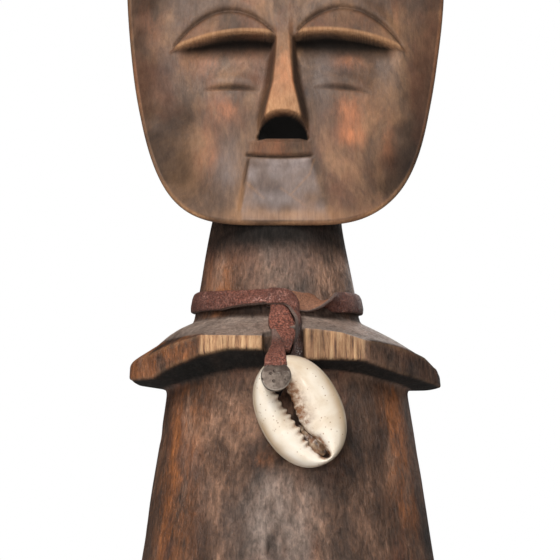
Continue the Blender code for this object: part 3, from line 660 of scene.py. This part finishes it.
def build_trunk():
    """Body, rim, shoulders and neck as rings stacked between stations, each with its own oval.

    Rows run straight between two stations, and averaging each row with its neighbours eases the arrises.
    Between the notch's two walls every point further out than its floor is drawn back to the floor.
    """
    walls = np.radians((-8.3, 7.0))
    extra = np.concatenate([w + np.radians(np.linspace(-0.5, 0.5, 9)) for w in walls])
    turn = np.sort(np.concatenate([np.linspace(-np.pi, np.pi, 400, endpoint=False), extra]))
    across, degrees = np.sin(turn), np.degrees(turn)
    side = across**2
    joint_z = mix(76.4, 73.4, side)
    rim_low, rim_high, set_in = (rim_line(turn, heights) for heights in (RIM_LOW, RIM_HIGH, SET_IN))
    corners = (-180, -149, -105, -75, -31, 28, 72, 106, 152, 180)
    plan = mix(1.0, chord(turn, corners), 0.33)
    rim_edge = oval(turn, FLANGE_X, 0, FLANGE_RX * plan - 0.25, FLANGE_RY * plan - 0.25, rim_high)
    neck_foot = oval(turn, NECK_X, 0, NECK_BASE_RX, NECK_BASE_RY, NECK_FOOT)
    stations = [
        (oval(turn, 0, 0, BASE_RX * 0.1, BASE_RY * 0.1, 0.0), 5),
        (oval(turn, 0, 0, BASE_RX - 0.9, BASE_RY - 0.9, 0.0), 3),
        (oval(turn, 0, 0, *body_radii(0.9), 0.9), 88),
        (oval(turn, BODY_TOP_X, 0, *body_radii(joint_z), joint_z), 14),
        (oval(turn, FLANGE_X, 0, FLANGE_RX * plan, FLANGE_RY * plan, rim_low), 11),
        (rim_edge, 7),
        (mix(rim_edge, neck_foot, set_in[:, None]), 21),
        (neck_foot, 34),
        (oval(turn, NECK_X, 0, NECK_TOP_RX, NECK_TOP_RY, NECK_TOP), 5),
    ]
    buried = HEAD_AT[1] - 2.0
    nape = ((0.28, 9.6, 0.93), (0.55, 4.2, 0.78), (0.8, -0.4, 0.58), (1.0, -3.4, 0.36))
    for t, back, narrow in nape:
        middle, half = (back + buried) / 2, (back - buried) / 2
        stations.append((oval(turn, NECK_X, middle, NECK_TOP_RX * narrow, half, NECK_TOP + 21.0 * t), 4))
    rows, stage = [], []
    for k, ((low, steps), (high, _)) in enumerate(zip(stations, stations[1:])):
        t = np.arange(steps)[:, None, None] / steps
        rows.append(mix(low, high, t))
        stage.append(k + t[:, :, 0] + 0.0 * turn)
    rows.append(stations[-1][0][None])
    stage.append(len(stations) - 1 + 0.0 * turn[None])
    rows, stage = averaged(np.concatenate(rows), 3), np.concatenate(stage)
    swell = np.sin(np.pi * np.clip(stage - 6.0, 0.0, 1.0) * (stage < 7.0))
    rows[..., 2] += swell * (0.9 * side**2 - 0.2 * (1.0 - side))

    on_body = (stage > 1.5) & (stage < 3.0)
    above = ease((stage - 3.6) / 0.5)
    dent = 0.13 * lumps(rows, (6.5, 6.5, 13.0), 1) + 0.07 * lumps(rows, (2.6, 2.6, 6.0), 2)
    dent = dent - 0.16 * ease((lumps(rows, (4.2, 4.2, 8.0), 5) - 0.35) / 0.3)
    dent = dent + above * 0.12 * lumps(rows, (9.0, 9.0, 9.0), 6)
    quiet = ease(stage - 0.6) * ease((8.6 - stage) / 0.5)
    outward = np.stack([across, -np.cos(turn), 0.0 * turn], axis=-1)
    rows = rows + outward * (dent * quiet)[..., None]

    sharp = np.radians(0.5)
    between = ease((turn - walls[0]) / sharp + 0.5) * ease((walls[1] - turn) / sharp + 0.5)
    floor_x = np.interp(turn, walls, (-5.4, 2.2))
    past = np.clip(NOTCH_FLOOR_Y - rows[..., 1], 0.0, 9.0) * between * (stage > 3.0)
    drawn = ease(past / 0.8) * between
    rows[..., 0] = mix(rows[..., 0], floor_x + 0.0 * stage, drawn)
    rows[..., 1] = rows[..., 1] + past

    z, x = rows[..., 2], rows[..., 0]
    face = ((stage > 3.9) & (stage < 5.3)).astype(float)
    underside = ease((stage - 3.0) / 0.12) * ease((4.05 - stage) / 0.15)
    front_left = ease((degrees + 31.5) / 1.5) * (degrees < -8.0)
    front_right = ease((29.0 - degrees) / 2.0) * (degrees > 7.0)
    behind = ease((np.abs(degrees) - 95.0) / 20.0)
    split = lumps(rows, (0.8, 0.8, 7.0), 2)
    bare = face * ((0.95 + 0.2 * split) * front_left + (0.78 + 0.5 * split) * front_right + 0.22 * behind)
    arris = hump(stage - 5.0, 0.06) + hump(stage - 4.0, 0.05)
    bare = np.maximum(bare, arris * (0.3 + 0.25 * lumps(rows, 5.0, 4)))
    wing = ((stage > 3.9) & (stage < 6.05)) * ease((np.abs(degrees) - 29.0) / 3.0) * (1.0 - behind)
    ochre = wing * np.where(degrees < 0, 0.75, 0.2)
    body = on_body.astype(float)
    ochre = ochre + body * hump(degrees + 54.0, 13.0) * ease((z - 8.0) / 14.0)
    ochre = ochre + body * 1.3 * hump(degrees - 56.0, 9.0) * ease((z - 42.0) / 6.0)
    ochre = ochre + body * 0.4 * hump(degrees - 58.0, 6.0) * ease((52.0 - z) / 8.0)
    ochre = ochre + body * 1.2 * patch(x, z, -5.4, 57.6, 2.2, 1.0) * (degrees > -60)
    ochre = ochre + body * spots(x, z, ((0.7, -11.0, 64.7, 1.4, 0.9), (0.7, -10.4, 67.4, 1.3, 1.0)))
    on_neck = (stage > 7.0) * (stage < 8.5)
    ochre = ochre + 1.1 * on_neck * hump(degrees + 48.0, 14.0) * ease((104.0 - z) / 4.0)
    ochre = ochre + body * 0.5 * behind * ease((lumps(rows, (9.0, 9.0, 22.0), 4) - 0.1) / 0.4)
    # Dust and painted sheen: a streaky painted reflection down the middle of the body, grey on the
    # shoulders' top, and paler down the front of the neck.
    streaky = 0.7 + 0.6 * lumps(rows, (3.0, 3.0, 11.0), 6) + 0.5 * lumps(rows, (1.1, 1.1, 4.0), 3)
    on_top = (stage > 5.0) * (stage < 7.0)
    dust_and_sheen = most(
        body * 0.8 * hump(x + 1.5, 7.5) * ease((58.0 - z) / 8.0) * streaky,
        on_top * (1.0 - wing) * (0.9 + 0.5 * lumps(rows, 5.0, 5)),
        0.35 * (stage > 7.0) * (stage < 8.0) * hump(x + 1.0, 8.0),
    )
    # Painted shade: under the rim and on the body just below it, on the neck under the chin, in the notch,
    # in the crease at the neck's foot, under the thong, and over the right wing.
    below_thong = ease((91.2 - z) / 0.5) * ease(z - 88.7) * (stage > 7.0)
    painted_shade = most(
        0.95 * underside,
        body * 0.75 * np.exp(-np.clip(joint_z - z, 0.0, 90.0) / 1.6),
        0.97 * (stage > 7.0) * ease((z - 99.5) / 6.5) * hump(degrees, 130.0),
        0.72 * drawn,
        0.5 * hump(stage - 7.0, 0.05),
        0.95 * below_thong * hump(degrees + 38.0, 40.0),
        0.7 * below_thong * hump(degrees - 60.0, 35.0),
        0.7 * wing * hump(degrees - 52.0, 3.0) * ease((5.0 - stage) / 0.5),
        0.4 * wing * (degrees > 0),
    )
    masks = {"painted_shade": painted_shade, "ochre": ochre, "dust_and_sheen": dust_and_sheen}
    masks = {label: np.clip(values, 0.0, 1.0) for label, values in masks.items()}
    masks["bare"] = bare
    masks = {label: averaged(values[..., None], 1)[..., 0] for label, values in masks.items()}
    make_piece("carved_trunk", rows, masks, trunk_wood, "figure", ["carved_figure"])


# ---------------------------------------------------------------- leather


def leather_tone():
    """Vegetable-tanned hide: grained on the outer side, napped on the flesh side, grey at the cut edge."""
    tree, place = new_group("thong hide")
    warped = grain(tree, place, (1, 1, 1), 500.0, 2.0)
    pebble = grain(tree, place, (1, 1, 1), 2500.0, 2.0, 0.5, 0.5)
    pebble_top = climb(tree, pebble, 0.36, 0.6)
    browns = (colour(98, 59, 49), colour(124, 80, 68), colour(152, 106, 93))
    tint = three_tones(tree, warped, (0.35, 0.5, 0.66), browns)
    tint = stain_with(tree, mask(tree, "ruddy"), tint, colour(166, 102, 84))
    tint = stain_with(tree, pebble_top, colour(84, 47, 39), tint)
    nap = grain(tree, place, (1, 1, 1), 3200.0, 3.0, 0.7)
    tans = (colour(86, 54, 40), colour(136, 92, 68), colour(162, 120, 92))
    suede = three_tones(tree, nap, (0.3, 0.55, 0.75), tans)
    tint = stain_with(tree, mask(tree, "flesh"), tint, suede)
    cut = stain_with(tree, climb(tree, nap, 0.3, 0.7), colour(66, 50, 44), colour(128, 108, 99))
    tint = stain_with(tree, mask(tree, "cut_edge"), tint, cut)
    tint = stain_with(tree, mask(tree, "shade"), tint, colour(26, 15, 12))
    napped = sums(tree, "MAXIMUM", mask(tree, "flesh"), mask(tree, "cut_edge"))
    smooth = sums(tree, "SUBTRACT", 1.0, napped)
    height = sums(tree, "MULTIPLY_ADD", pebble_top, smooth, sums(tree, "MULTIPLY", nap, 0.25))
    gloss = sums(tree, "MULTIPLY_ADD", napped, 0.35, sums(tree, "MULTIPLY_ADD", pebble_top, -0.12, 0.5))
    return end_group(tree, tint, gloss, height, 0.8, 0.0003)


hide = new_material("thong_hide", leather_tone(), Specular_IOR_Level=0.55)


def strap_rows(point, over, width, thick, seed):
    """A strap along a path: a rounded oblong section, square to the way it runs, at every station.

    point is the path, over the way across the strap at each station. The section is a super-ellipse:
    the half width times a power of the cosine, and the half thickness times a power of the sine. Its
    positive side is the grain side. Width and edge waver a little, as a hand-cut thong does.
    """
    along = np.gradient(point, axis=0)
    along = along / np.linalg.norm(along, axis=1)[:, None]
    face = np.cross(over, along)
    face = face / np.linalg.norm(face, axis=1)[:, None]
    over = np.cross(along, face)
    around = np.linspace(0.0, 2 * np.pi, 44, endpoint=False)
    c, s = np.cos(around), np.sin(around)
    u = np.sign(c) * np.abs(c) ** 0.5
    v = np.sign(s) * np.abs(s) ** 0.45
    waver = 1.0 + 0.06 * lumps(point + seed * 7.0, 3.5, 3) + 0.03 * lumps(point, 1.3, 4)
    half = (width * waver / 2)[:, None]
    curl = -0.1 * thick * (u**2)[None] * half
    rows = point[:, None] + over[:, None] * (half * u)[..., None]
    rows = rows + face[:, None] * (thick / 2 * v + curl)[..., None]
    rows = rows + face[:, None] * (0.06 * lumps(rows, 0.9, 6) * (v > 0.5))[..., None]
    flesh = ease((-v - 0.1) / 0.3) + 0.0 * half
    cut = ease((np.abs(u) - 0.86) / 0.08) * ease((0.75 - v) / 0.4) + 0.0 * half
    return rows, {"flesh": flesh, "cut_edge": np.clip(cut, 0, 1)}


def build_neck_strap():
    """The thong's turn: an oval a little off the neck, by the angle from the front.

    It begins behind the crossing and runs to the right, where it turns over once, by half a circle, so
    that its flesh side shows. It goes round the back and ends over the crossing, its low edge out.
    """
    degrees = np.linspace(-6.0, 357.0, 430)
    turn = np.radians(degrees)
    over_start = ease((degrees - 318.0) / 27.0)
    slope = ease((50.0 - degrees) / 34.0)
    off = 0.25 + THONG_THICK / 2 + 1.45 * over_start + 0.5 * np.sin(np.pi * slope)
    z = LOOP_BOTTOM + THONG_WIDTH / 2 - 1.8 * hump(degrees - 21.0, 30.0)
    z = z - 0.5 * ease((degrees - 290.0) / 50.0)
    z = z + 0.3 * np.sin(turn * 3.0 + 1.0)
    share = (z - NECK_FOOT) / (NECK_TOP - NECK_FOOT)
    rx, ry = mix(NECK_BASE_RX, NECK_TOP_RX, share), mix(NECK_BASE_RY, NECK_TOP_RY, share)
    point = np.stack([NECK_X + (rx + off) * np.sin(turn), -(ry + off) * np.cos(turn), z], axis=-1)
    out = np.stack([np.sin(turn), -np.cos(turn), 0.0 * turn], axis=-1)
    up = np.array([0.0, 0.0, 1.0])
    tilt = -0.18 - 0.42 * ease((degrees - 300.0) / 45.0)
    roll = (np.pi * slope + tilt)[:, None]
    over = np.cos(roll) * up + np.sin(roll) * out
    width = THONG_WIDTH * (0.98 - 0.1 * ease((degrees - 310.0) / 30.0))
    rows, masks = strap_rows(point, -over, width, THONG_THICK, 1)
    masks["ruddy"] = 0.35 * hump(degrees - 340.0, 25.0)[:, None]
    tucked = 0.7 * ease((8.0 - degrees) / 6.0)[:, None]
    below = rows[..., 2].mean(axis=1)[:, None] - rows[..., 2]
    masks["shade"] = np.maximum(tucked, 0.25 * ease(below - 1.2))
    make_piece("neck_strap", rows, masks, hide, "neck_loop", ["thong_neck_loop"])


def through_strap(knots, count):
    """Path, way across and width through knots of seven numbers: place, way across, width."""
    run = through([[*place, *over, width] for place, over, width in knots], count)
    return run[:, :3], run[:, 3:6], run[:, 6]


TAIL_BEND = ("neck_loop", "pendant", (-0.0018, -0.01929, 0.0906), (-0.0018, -0.01929, 0.0882))


def build_front_tail():
    """The thong's front end: a broad leaf over the shoulder, and a folded pad drawn up to the rivet."""
    seat = RIVET[1] - 6.5
    leaf = [
        ((-2.3, -17.7, 91.8), (1, 0, 0.1), 3.6),
        ((-2.3, -19.2, 90.2), (1, 0, 0.1), 3.6),
        ((-2.0, -20.3, 89.0), (1, 0, 0), 4.4),
        ((-1.9, -21.6, 87.1), (1, 0, 0), 5.3),
        ((-1.5, -23.0, 85.5), (1, 0.1, 0), 5.6),
        ((-0.85, -25.0, 83.1), (1, 0.2, 0), 4.4),
        ((-0.5, -26.5, 81.3), (1, 0.2, 0), 2.4),
        ((-0.6, -27.7, 79.7), (1, 0.1, 0), 1.4),
    ]
    pad = [
        ((-3.35, -26.0, 84.1), (1, -0.3, -0.3), 1.0),
        ((-2.8, -27.5, 82.4), (1, -0.3, -0.3), 1.9),
        ((-2.5, -30.0, 80.5), (1, -0.3, -0.2), 2.9),
        ((-2.7, -32.2, 79.2), (1, -0.2, 0), 3.7),
        ((-2.9, -34.0, 78.0), (1, -0.1, 0), 4.3),
        ((-2.9, seat + 0.1, 76.5), (1, 0, 0), 4.9),
        ((-2.8, seat, 75.0), (1, 0, 0), 4.7),
        ((-2.8, seat, 73.0), (1, 0, 0), 4.6),
        ((-2.8, seat, 71.6), (1, 0, 0), 3.4),
    ]
    for name, knots, seed in (("front_leaf", leaf, 2), ("front_pad", pad, 5)):
        point, over, width = through_strap(knots, 100)
        rows, masks = strap_rows(point, -over, width, THONG_THICK, seed)
        z = rows[..., 2]
        masks["ruddy"] = 0.9 * hump(z - 86.5, 5.0) + 0.6 * hump(z - 77.0, 3.0)
        masks["shade"] = 0.7 * hump(z - 91.4, 1.2) + 0.3 * hump(z - 81.5, 1.2)
        folded = ease((z - 81.0) / 2.0) * (name == "front_pad")
        masks["cut_edge"] = np.maximum(masks["cut_edge"], 0.8 * folded)
        make_piece(name, rows, masks, hide, TAIL_BEND, ["thong_front_end"])


def build_back_tail():
    """The thong's back end: it curls down beside the leaf, through the notch, and behind the shell."""
    behind = RIVET[1] + 0.9
    knots = [
        ((-4.6, -18.4, 92.4), (0.05, 0.5, 0.85), 4.1),
        ((-2.6, -18.9, 92.3), (0.1, 0.5, 0.85), 4.1),
        ((-0.7, -19.6, 91.9), (0.45, 0.4, 0.8), 3.7),
        ((0.6, -20.6, 90.6), (0.75, 0.5, 0.45), 3.0),
        ((1.2, -21.6, 88.8), (0.5, 0.85, 0.1), 2.4),
        ((1.85, -23.1, 86.8), (0.25, 0.95, 0.1), 2.0),
        ((1.95, -24.9, 84.4), (0.2, 0.95, 0.2), 2.0),
        ((1.9, -26.0, 81.9), (0.5, 0.8, 0.1), 2.0),
        ((1.6, behind + 0.5, 79.6), (0.95, -0.1, 0.2), 2.2),
        ((0.8, behind + 0.15, 77.4), (0.9, 0, 0.45), 2.8),
        ((-0.8, behind, 75.6), (0.9, 0, 0.45), 3.6),
        ((-2.6, behind, 73.6), (0.9, 0, 0.45), 4.1),
        ((-3.6, behind, 71.0), (0.9, 0, 0.45), 3.6),
    ]
    point, over, width = through_strap(knots, 110)
    rows, masks = strap_rows(point, -over, width, THONG_THICK, 3)
    masks["ruddy"] = 0.2 * hump(rows[..., 2] - 90.0, 3.0)
    masks["shade"] = 0.85 * ease((88.5 - rows[..., 2]) / 4.0)
    make_piece("back_tail", rows, masks, hide, TAIL_BEND, ["thong_back_end"])


# ---------------------------------------------------------------- cowrie


def shell_tone():
    """Smooth shell: cream, warmer towards the margin, brown between the teeth, with fine brown specks."""
    tree, place = new_group("cowrie glaze")
    clouds = grain(tree, place, (1, 1, 1), 160.0, 4.0, 0.55, 0.4)
    creams = (colour(222, 203, 178), colour(240, 228, 210), colour(248, 241, 230))
    tint = three_tones(tree, clouds, (0.32, 0.5, 0.7), creams)
    tint = stain_with(tree, mask(tree, "tan"), tint, colour(206, 178, 142))
    dirt = grain(tree, place, (1, 1, 1), 900.0, 4.0, 0.7, 0.3)
    patchy = sums(tree, "MULTIPLY_ADD", dirt, 3.0, -0.7)
    share = sums(tree, "MULTIPLY", mask(tree, "stain"), patchy, clamp=True)
    tint = stain_with(tree, share, tint, colour(132, 88, 54))
    # Painted shade: dark brown inside the slit and on the cut back.
    tint = stain_with(tree, mask(tree, "inside"), tint, colour(46, 28, 18))
    sockets = {"Vector": place, "Scale": 1250.0, "Randomness": 1.0}
    dots = wire(tree, "ShaderNodeTexVoronoi", sockets, feature="F1").outputs["Distance"]
    some = grain(tree, place, (1, 1, 1), 420.0, 2.0, 0.5, 0.0, (0.3, 0.3, 0.9))
    specks = sums(tree, "MULTIPLY", climb(tree, dots, 0.24, 0.12), climb(tree, some, 0.5, 0.58))
    tint = stain_with(tree, sums(tree, "MULTIPLY", specks, 0.75), tint, colour(158, 116, 80))
    crust = sums(tree, "MULTIPLY", mask(tree, "stain"), 0.8)
    height = sums(tree, "MULTIPLY_ADD", dirt, crust, sums(tree, "MULTIPLY", specks, -0.3))
    gloss = sums(tree, "MULTIPLY_ADD", sums(tree, "MAXIMUM", share, mask(tree, "inside")), 0.35, 0.26)
    return end_group(tree, tint, gloss, height, 0.35, 0.0002)


polish = {"Specular_IOR_Level": 0.6, "Coat_Weight": 0.25, "Coat_Roughness": 0.12}
shell_glaze = new_material("cowrie_glaze", shell_tone(), **polish)


def on_shell(x, out, z):
    """From the shell's own frame to the figure's: turned about the rivet, which goes through its slit."""
    dx, dz = x + 1.65, z - SHELL_LENGTH / 2 + 4.5
    c, s = math.cos(SHELL_TURN), math.sin(SHELL_TURN)
    return np.stack([RIVET[0] + dx * c + dz * s, RIVET[1] - out, RIVET[2] - dx * s + dz * c], axis=-1)


FACE_SHARES = (0.0, 0.02, 0.1, 0.28, 0.5, 0.72, 0.88, 0.97, 1.0, 0.98)
FACE_DEPTHS = (0.6, 0.78, 0.9, 0.985, 1.0, 0.9, 0.7, 0.45, 0.22, 0.04)
BACK_SHARES = (0.93, 0.86, 0.83, 0.74, 0.45, 0.2, 0.06, 0.0)
BACK_DEPTHS = (0.0, 0.03, 0.3, 0.56, 0.7, 0.62, 0.5, 0.54)


def build_cowrie():
    """The shell as a ring of sections about its slit: from the lip, over the face, to its cut back.

    Each angle has a place on the slit's lens and one on the outer super-ellipse. A section runs between
    the two by a table of (share of the way, share of the depth). Ribs across the lips, a power of a
    cosine along the slit, make the teeth, and small lumps chip the lower end.
    """
    turn = np.linspace(0.0, 2 * np.pi, SHELL_COLUMNS, endpoint=False)
    c, s = np.cos(turn), np.sin(turn)
    power = 2 / 2.15
    outer_x = SHELL_WIDTH / 2 * np.sign(c) * np.abs(c) ** power
    outer_z = SHELL_LENGTH / 2 * np.sign(s) * np.abs(s) ** power
    inner_z = (SHELL_LENGTH / 2 - 1.6 + 0.7 * ease((-s - 0.5) / 0.5)) * s
    bow = -1.6 * (1 - s * s) - 1.6 * np.maximum(s, 0.0) ** 2 + 0.9 * np.maximum(-s, 0.0) ** 3
    gape = 0.55 + 0.75 * ease((s + 0.2) / 0.6) + 0.75 * ease((-s - 0.35) / 0.4)
    inner_x = bow + gape * np.sign(c) * np.abs(c) ** 0.6
    knots = list(zip(FACE_SHARES + BACK_SHARES, FACE_DEPTHS + BACK_DEPTHS))
    section = through(knots, SHELL_ROWS)
    share, depth = section[:, :1], section[:, 1:]
    left = c < 0
    lip = hump(share, 0.16) * (depth > 0.55)
    teeth_run = ease((0.9 - s) / 0.12) * ease((s + np.where(left, 0.8, 0.35)) / 0.15)
    phase = inner_z * 2 * np.pi / 1.55 + np.where(left, 0.0, 1.6) + 0.5 * np.sin(inner_z)
    wave = 0.5 + 0.5 * np.cos(phase)
    ridge = wave**1.1 * teeth_run * (0.9 + 0.2 * np.sin(inner_z * 1.7 + 0.4))
    x = mix(inner_x, outer_x, share)
    z = mix(inner_z, outer_z, share)
    size = np.where(left, 1.05, 0.5)
    x = x + np.where(left, 1.0, -1.0) * 0.42 * ridge * size * hump(share, 0.08) * (depth > 0.5)
    bulge = 0.92 + 0.08 * s + 0.05 * np.where(left, -1.0, 1.0)
    y = SHELL_DEPTH * depth * bulge + 0.3 * (ridge - 0.4) * size * lip
    ends = np.maximum(ease((-s - 0.86) / 0.1), ease((-s - 0.5) / 0.2) * (~left)) * lip
    rough = np.stack([x, y, z], axis=-1)
    y = y - ends * (0.5 + 0.6 * lumps(rough, 0.8, 5))
    y = y + 0.05 * lumps(rough, 3.0, 2) * (depth > 0.3)
    rows = on_shell(x, y, z)
    face = depth > 0.5
    valley = (1.0 - wave) * teeth_run
    stain = lip * (0.35 + 0.9 * valley) * np.where(left, 0.8, 1.4)
    stain = stain + ends * 1.1 + 0.5 * hump(share - 0.15, 0.22) * (~left) * teeth_run
    # Painted shade inside the slit and on the rows of the cut back.
    hidden = (np.arange(SHELL_ROWS) > SHELL_FACE_ROWS)[:, None]
    inside = ease((0.74 - depth) / 0.12) * (share < 0.7) + hidden
    inside = np.clip(inside, 0.0, 1.0) * (share < 0.84)
    tan = 0.6 * ease((share - 0.72) / 0.25) * face * (0.7 + 0.6 * lumps(rough, 2.5, 1))
    tan = tan + 0.35 * hump(s + 0.2, 0.5) * hump(share - 0.9, 0.12) + 0.2 * (~face)
    masks = {"stain": np.clip(stain, 0, 1), "inside": inside, "tan": np.clip(tan, 0, 1)}
    shape = (SHELL_ROWS, SHELL_COLUMNS)
    masks = {label: np.broadcast_to(values, shape).T for label, values in masks.items()}
    rows = rows.transpose(1, 0, 2)
    make_piece("cowrie", rows, masks, shell_glaze, "shell", ["cowrie_shell"], ring=True)


def build_cowrie_core():
    """The broken spire inside: a lumpy brown sliver along the slit's lower end."""
    knots = [
        (-1.4, 2.2, -2.4, 0.3),
        (-1.0, 2.5, -4.6, 1.0),
        (-0.6, 2.9, -6.8, 1.3),
        (0.0, 3.1, -8.6, 1.3),
        (0.6, 2.6, -10.0, 0.6),
    ]
    run = through(knots, 60)
    around = np.linspace(0.0, 2 * np.pi, 36, endpoint=False)
    x = run[:, :1] + run[:, 3:] * np.cos(around)
    out = run[:, 1:2] + run[:, 3:] * 0.75 * np.sin(around)
    z = run[:, 2:3] + 0.35 * run[:, 3:] * np.cos(around)
    rough = np.stack([x, out, z], axis=-1)
    out = out + 0.3 * lumps(rough, 0.9, 3) + 0.14 * lumps(rough, 0.4, 4)
    dirt = np.clip(0.95 + 0.5 * lumps(rough, 0.7, 6), 0.0, 1.0)
    # Painted shade inside the shell, in lumps, over the brown stain.
    dark = np.clip(0.6 + 0.5 * lumps(rough, 0.8, 1), 0.0, 1.0)
    masks = {"stain": dirt, "inside": dark, "tan": 0.8}
    make_piece("cowrie_core", on_shell(x, out, z), masks, shell_glaze, "shell", ["cowrie_shell"])


# ---------------------------------------------------------------- iron


def iron_tone():
    """Dull old iron: brown-grey, pitted and scratched, with painted shade on top, and brighter where the
    edge is rubbed, most along the bottom as a painted highlight.
    """
    tree, place = new_group("old iron")
    clouds = grain(tree, place, (1, 1, 1), 700.0, 4.0, 0.65)
    greys = (colour(52, 44, 39), colour(82, 72, 65), colour(118, 108, 100))
    tint = three_tones(tree, clouds, (0.35, 0.52, 0.7), greys)
    scratches = grain(tree, place, (1.0, 1.0, 9.0), 500.0, 3.0, 0.7, 0.0, (0.1, 0.7, 0.4))
    bright = sums(tree, "MULTIPLY", climb(tree, scratches, 0.64, 0.72), 0.4)
    tint = stain_with(tree, bright, tint, colour(196, 188, 180))
    # Painted shade over the head's upper part, then the rubbed rim, brighter along its bottom as a painted
    # highlight.
    tint = stain_with(tree, mask(tree, "top_painted_shade"), tint, colour(46, 34, 28))
    tint = stain_with(tree, mask(tree, "rubbed"), tint, colour(178, 168, 158))
    sockets = {"Vector": place, "Scale": 800.0}
    pits = wire(tree, "ShaderNodeTexVoronoi", sockets, feature="F1").outputs["Distance"]
    hole = climb(tree, pits, 0.28, 0.12)
    tint = stain_with(tree, sums(tree, "MULTIPLY", hole, 0.6), tint, colour(44, 34, 30))
    height = sums(tree, "MULTIPLY_ADD", hole, -0.7, clouds)
    gloss = sums(tree, "MULTIPLY_ADD", climb(tree, clouds, 0.3, 0.7), 0.2, 0.36)
    return end_group(tree, tint, gloss, height, 0.5, 0.0002)


iron = new_material("old_iron", iron_tone(), Metallic=0.75)


def turned_rows(profile, count, wobble):
    """A turned piece on the rivet's axis, from (radius, out) stations, a little out of round."""
    run = through(profile, count)
    turn = np.linspace(0.0, 2 * np.pi, 96, endpoint=False)
    radius = run[:, :1] * (1.0 + wobble * np.sin(turn * 2 + 0.6) + 0.4 * wobble * np.sin(turn * 5))
    x, z = radius * np.cos(turn), radius * np.sin(turn)
    out = run[:, 1:] + 0.0 * x
    rows = np.stack([RIVET[0] + x, RIVET[1] - out, RIVET[2] + z], axis=-1)
    return rows, run, turn


def build_rivet():
    """The rivet: a low domed head with an eased rim on a round shank, and the burr behind the leather."""
    radii = (0.55, 0.74, 0.75, 0.75, 0.8, 2.7, 2.98, 3.0, 2.86, 2.5, 1.6, 0.7, 0.1)
    places = (-2.25, -2.1, 0.0, 7.2, 7.25, 7.25, 7.34, 7.6, 7.86, 7.93, 8.0, 8.04, 8.05)
    rows, run, turn = turned_rows(list(zip(radii, places)), 90, 0.012)
    rows[..., 1] -= 0.05 * lumps(rows, 1.1, 3) * (run[:, 1:] > 7.85)
    on_head = ease((run[:, 1:] - 7.2) / 0.1)
    rows[..., 1] += 0.42 * (rows[..., 2] - RIVET[2]) * on_head
    rows[..., 2] += 0.9 * on_head
    # The rim is rubbed all round and brighter along its lower part, a painted highlight. Painted shade
    # darkens the head's upper part.
    rubbed = hump(run[:, :1] - 2.92, 0.12) * (run[:, 1:] > 7.5) * (0.45 + 0.5 * (np.sin(turn) < -0.2))
    top_painted_shade = 0.75 * ease((rows[..., 2] - RIVET[2] - 0.6 + 0.6 * lumps(rows, 0.7, 2)) / 2.2) * on_head
    masks = {"rubbed": rubbed, "top_painted_shade": top_painted_shade}
    make_piece("rivet_head", rows, masks, iron, "pendant", ["rivet_stud"])
    ring = [(0.95, -2.2), (1.75, -2.22), (1.9, -2.0), (1.85, -1.8), (0.96, -1.78), (0.95, -2.0)]
    rows, run, _ = turned_rows(ring, 40, 0.02)
    masks = {"rubbed": hump(run[:, :1] - 1.9, 0.1)}
    make_piece("burr", rows, masks, iron, "pendant", ["rivet_burr"], ring=True)


# ---------------------------------------------------------------- studio


def build_studio():
    """A pale floor, a white surround, and lights: broad above the front, weak low down, and one behind."""
    bpy.context.scene.view_settings.view_transform = "Standard"
    turn = np.linspace(0.0, 2 * np.pi, 128, endpoint=False)
    disc = np.stack([0.62 * np.cos(turn), 0.62 * np.sin(turn), 0.0 * turn], axis=-1)
    mesh = bpy.data.meshes.new("floor")
    mesh.from_pydata(disc.tolist(), [], [tuple(range(len(disc)))])
    floor = bpy.data.objects.new("floor", mesh)
    mesh.materials.append(new_material("pale_floor", Base_Color=(0.82, 0.82, 0.82, 1), Roughness=0.8))
    bpy.context.scene.collection.objects.link(floor)
    world = bpy.data.worlds.new("white surround")
    bpy.context.scene.world = world
    world.use_nodes = True
    tree = world.node_tree
    tree.nodes.clear()
    seen = wire(tree, "ShaderNodeLightPath").outputs["Is Camera Ray"]
    soft = wire(tree, "ShaderNodeBackground", {"Color": (1.0, 0.98, 0.96, 1.0), "Strength": 0.055})
    white = wire(tree, "ShaderNodeBackground", {"Color": (1.0, 1.0, 1.0, 1.0), "Strength": 1.0})
    both = wire(tree, "ShaderNodeMixShader", {0: seen, 1: soft.outputs[0], 2: white.outputs[0]})
    wire(tree, "ShaderNodeOutputWorld", {0: both.outputs[0]})
    lights = (
        ("upper_softbox", (-0.12, -0.4, 0.48), 0.26, 2.9, (1.0, 0.97, 0.93)),
        ("front_window", (-0.035, -0.6, 0.17), 0.14, 1.05, (1.0, 0.98, 0.96)),
        ("back_fill", (0.3, 0.6, 0.4), 0.5, 0.9, (1.0, 0.98, 0.96)),
    )
    for name, at, size, power, tint in lights:
        lamp = bpy.data.lights.new(name, "AREA")
        lamp.shape = "SQUARE"
        lamp.size = size
        lamp.energy = power
        lamp.color = tint
        made = bpy.data.objects.new(name, lamp)
        made.location = at
        made.rotation_euler = (Vector((0.0, 0.0, 0.1)) - Vector(at)).to_track_quat("-Z", "Y").to_euler()
        bpy.context.scene.collection.objects.link(made)


def build_camera():
    """Straight in front and a little below, looking up at the neck."""
    lens = bpy.data.cameras.new("camera")
    lens.angle = math.radians(21.7)
    lens.clip_start = 0.01
    camera = bpy.data.objects.new("camera", lens)
    target, low = Vector((-0.002, 0.0, 0.0983)), math.radians(-8.0)
    towards = Vector((0.0, math.cos(low), -math.sin(low)))
    camera.location = target - towards * 0.33
    camera.rotation_euler = towards.to_track_quat("-Z", "Y").to_euler()
    bpy.context.scene.collection.objects.link(camera)
    bpy.context.scene.camera = camera


build_camera()
build_head()
build_trunk()
build_neck_strap()
build_front_tail()
build_back_tail()
build_cowrie()
build_cowrie_core()
build_rivet()
build_studio()
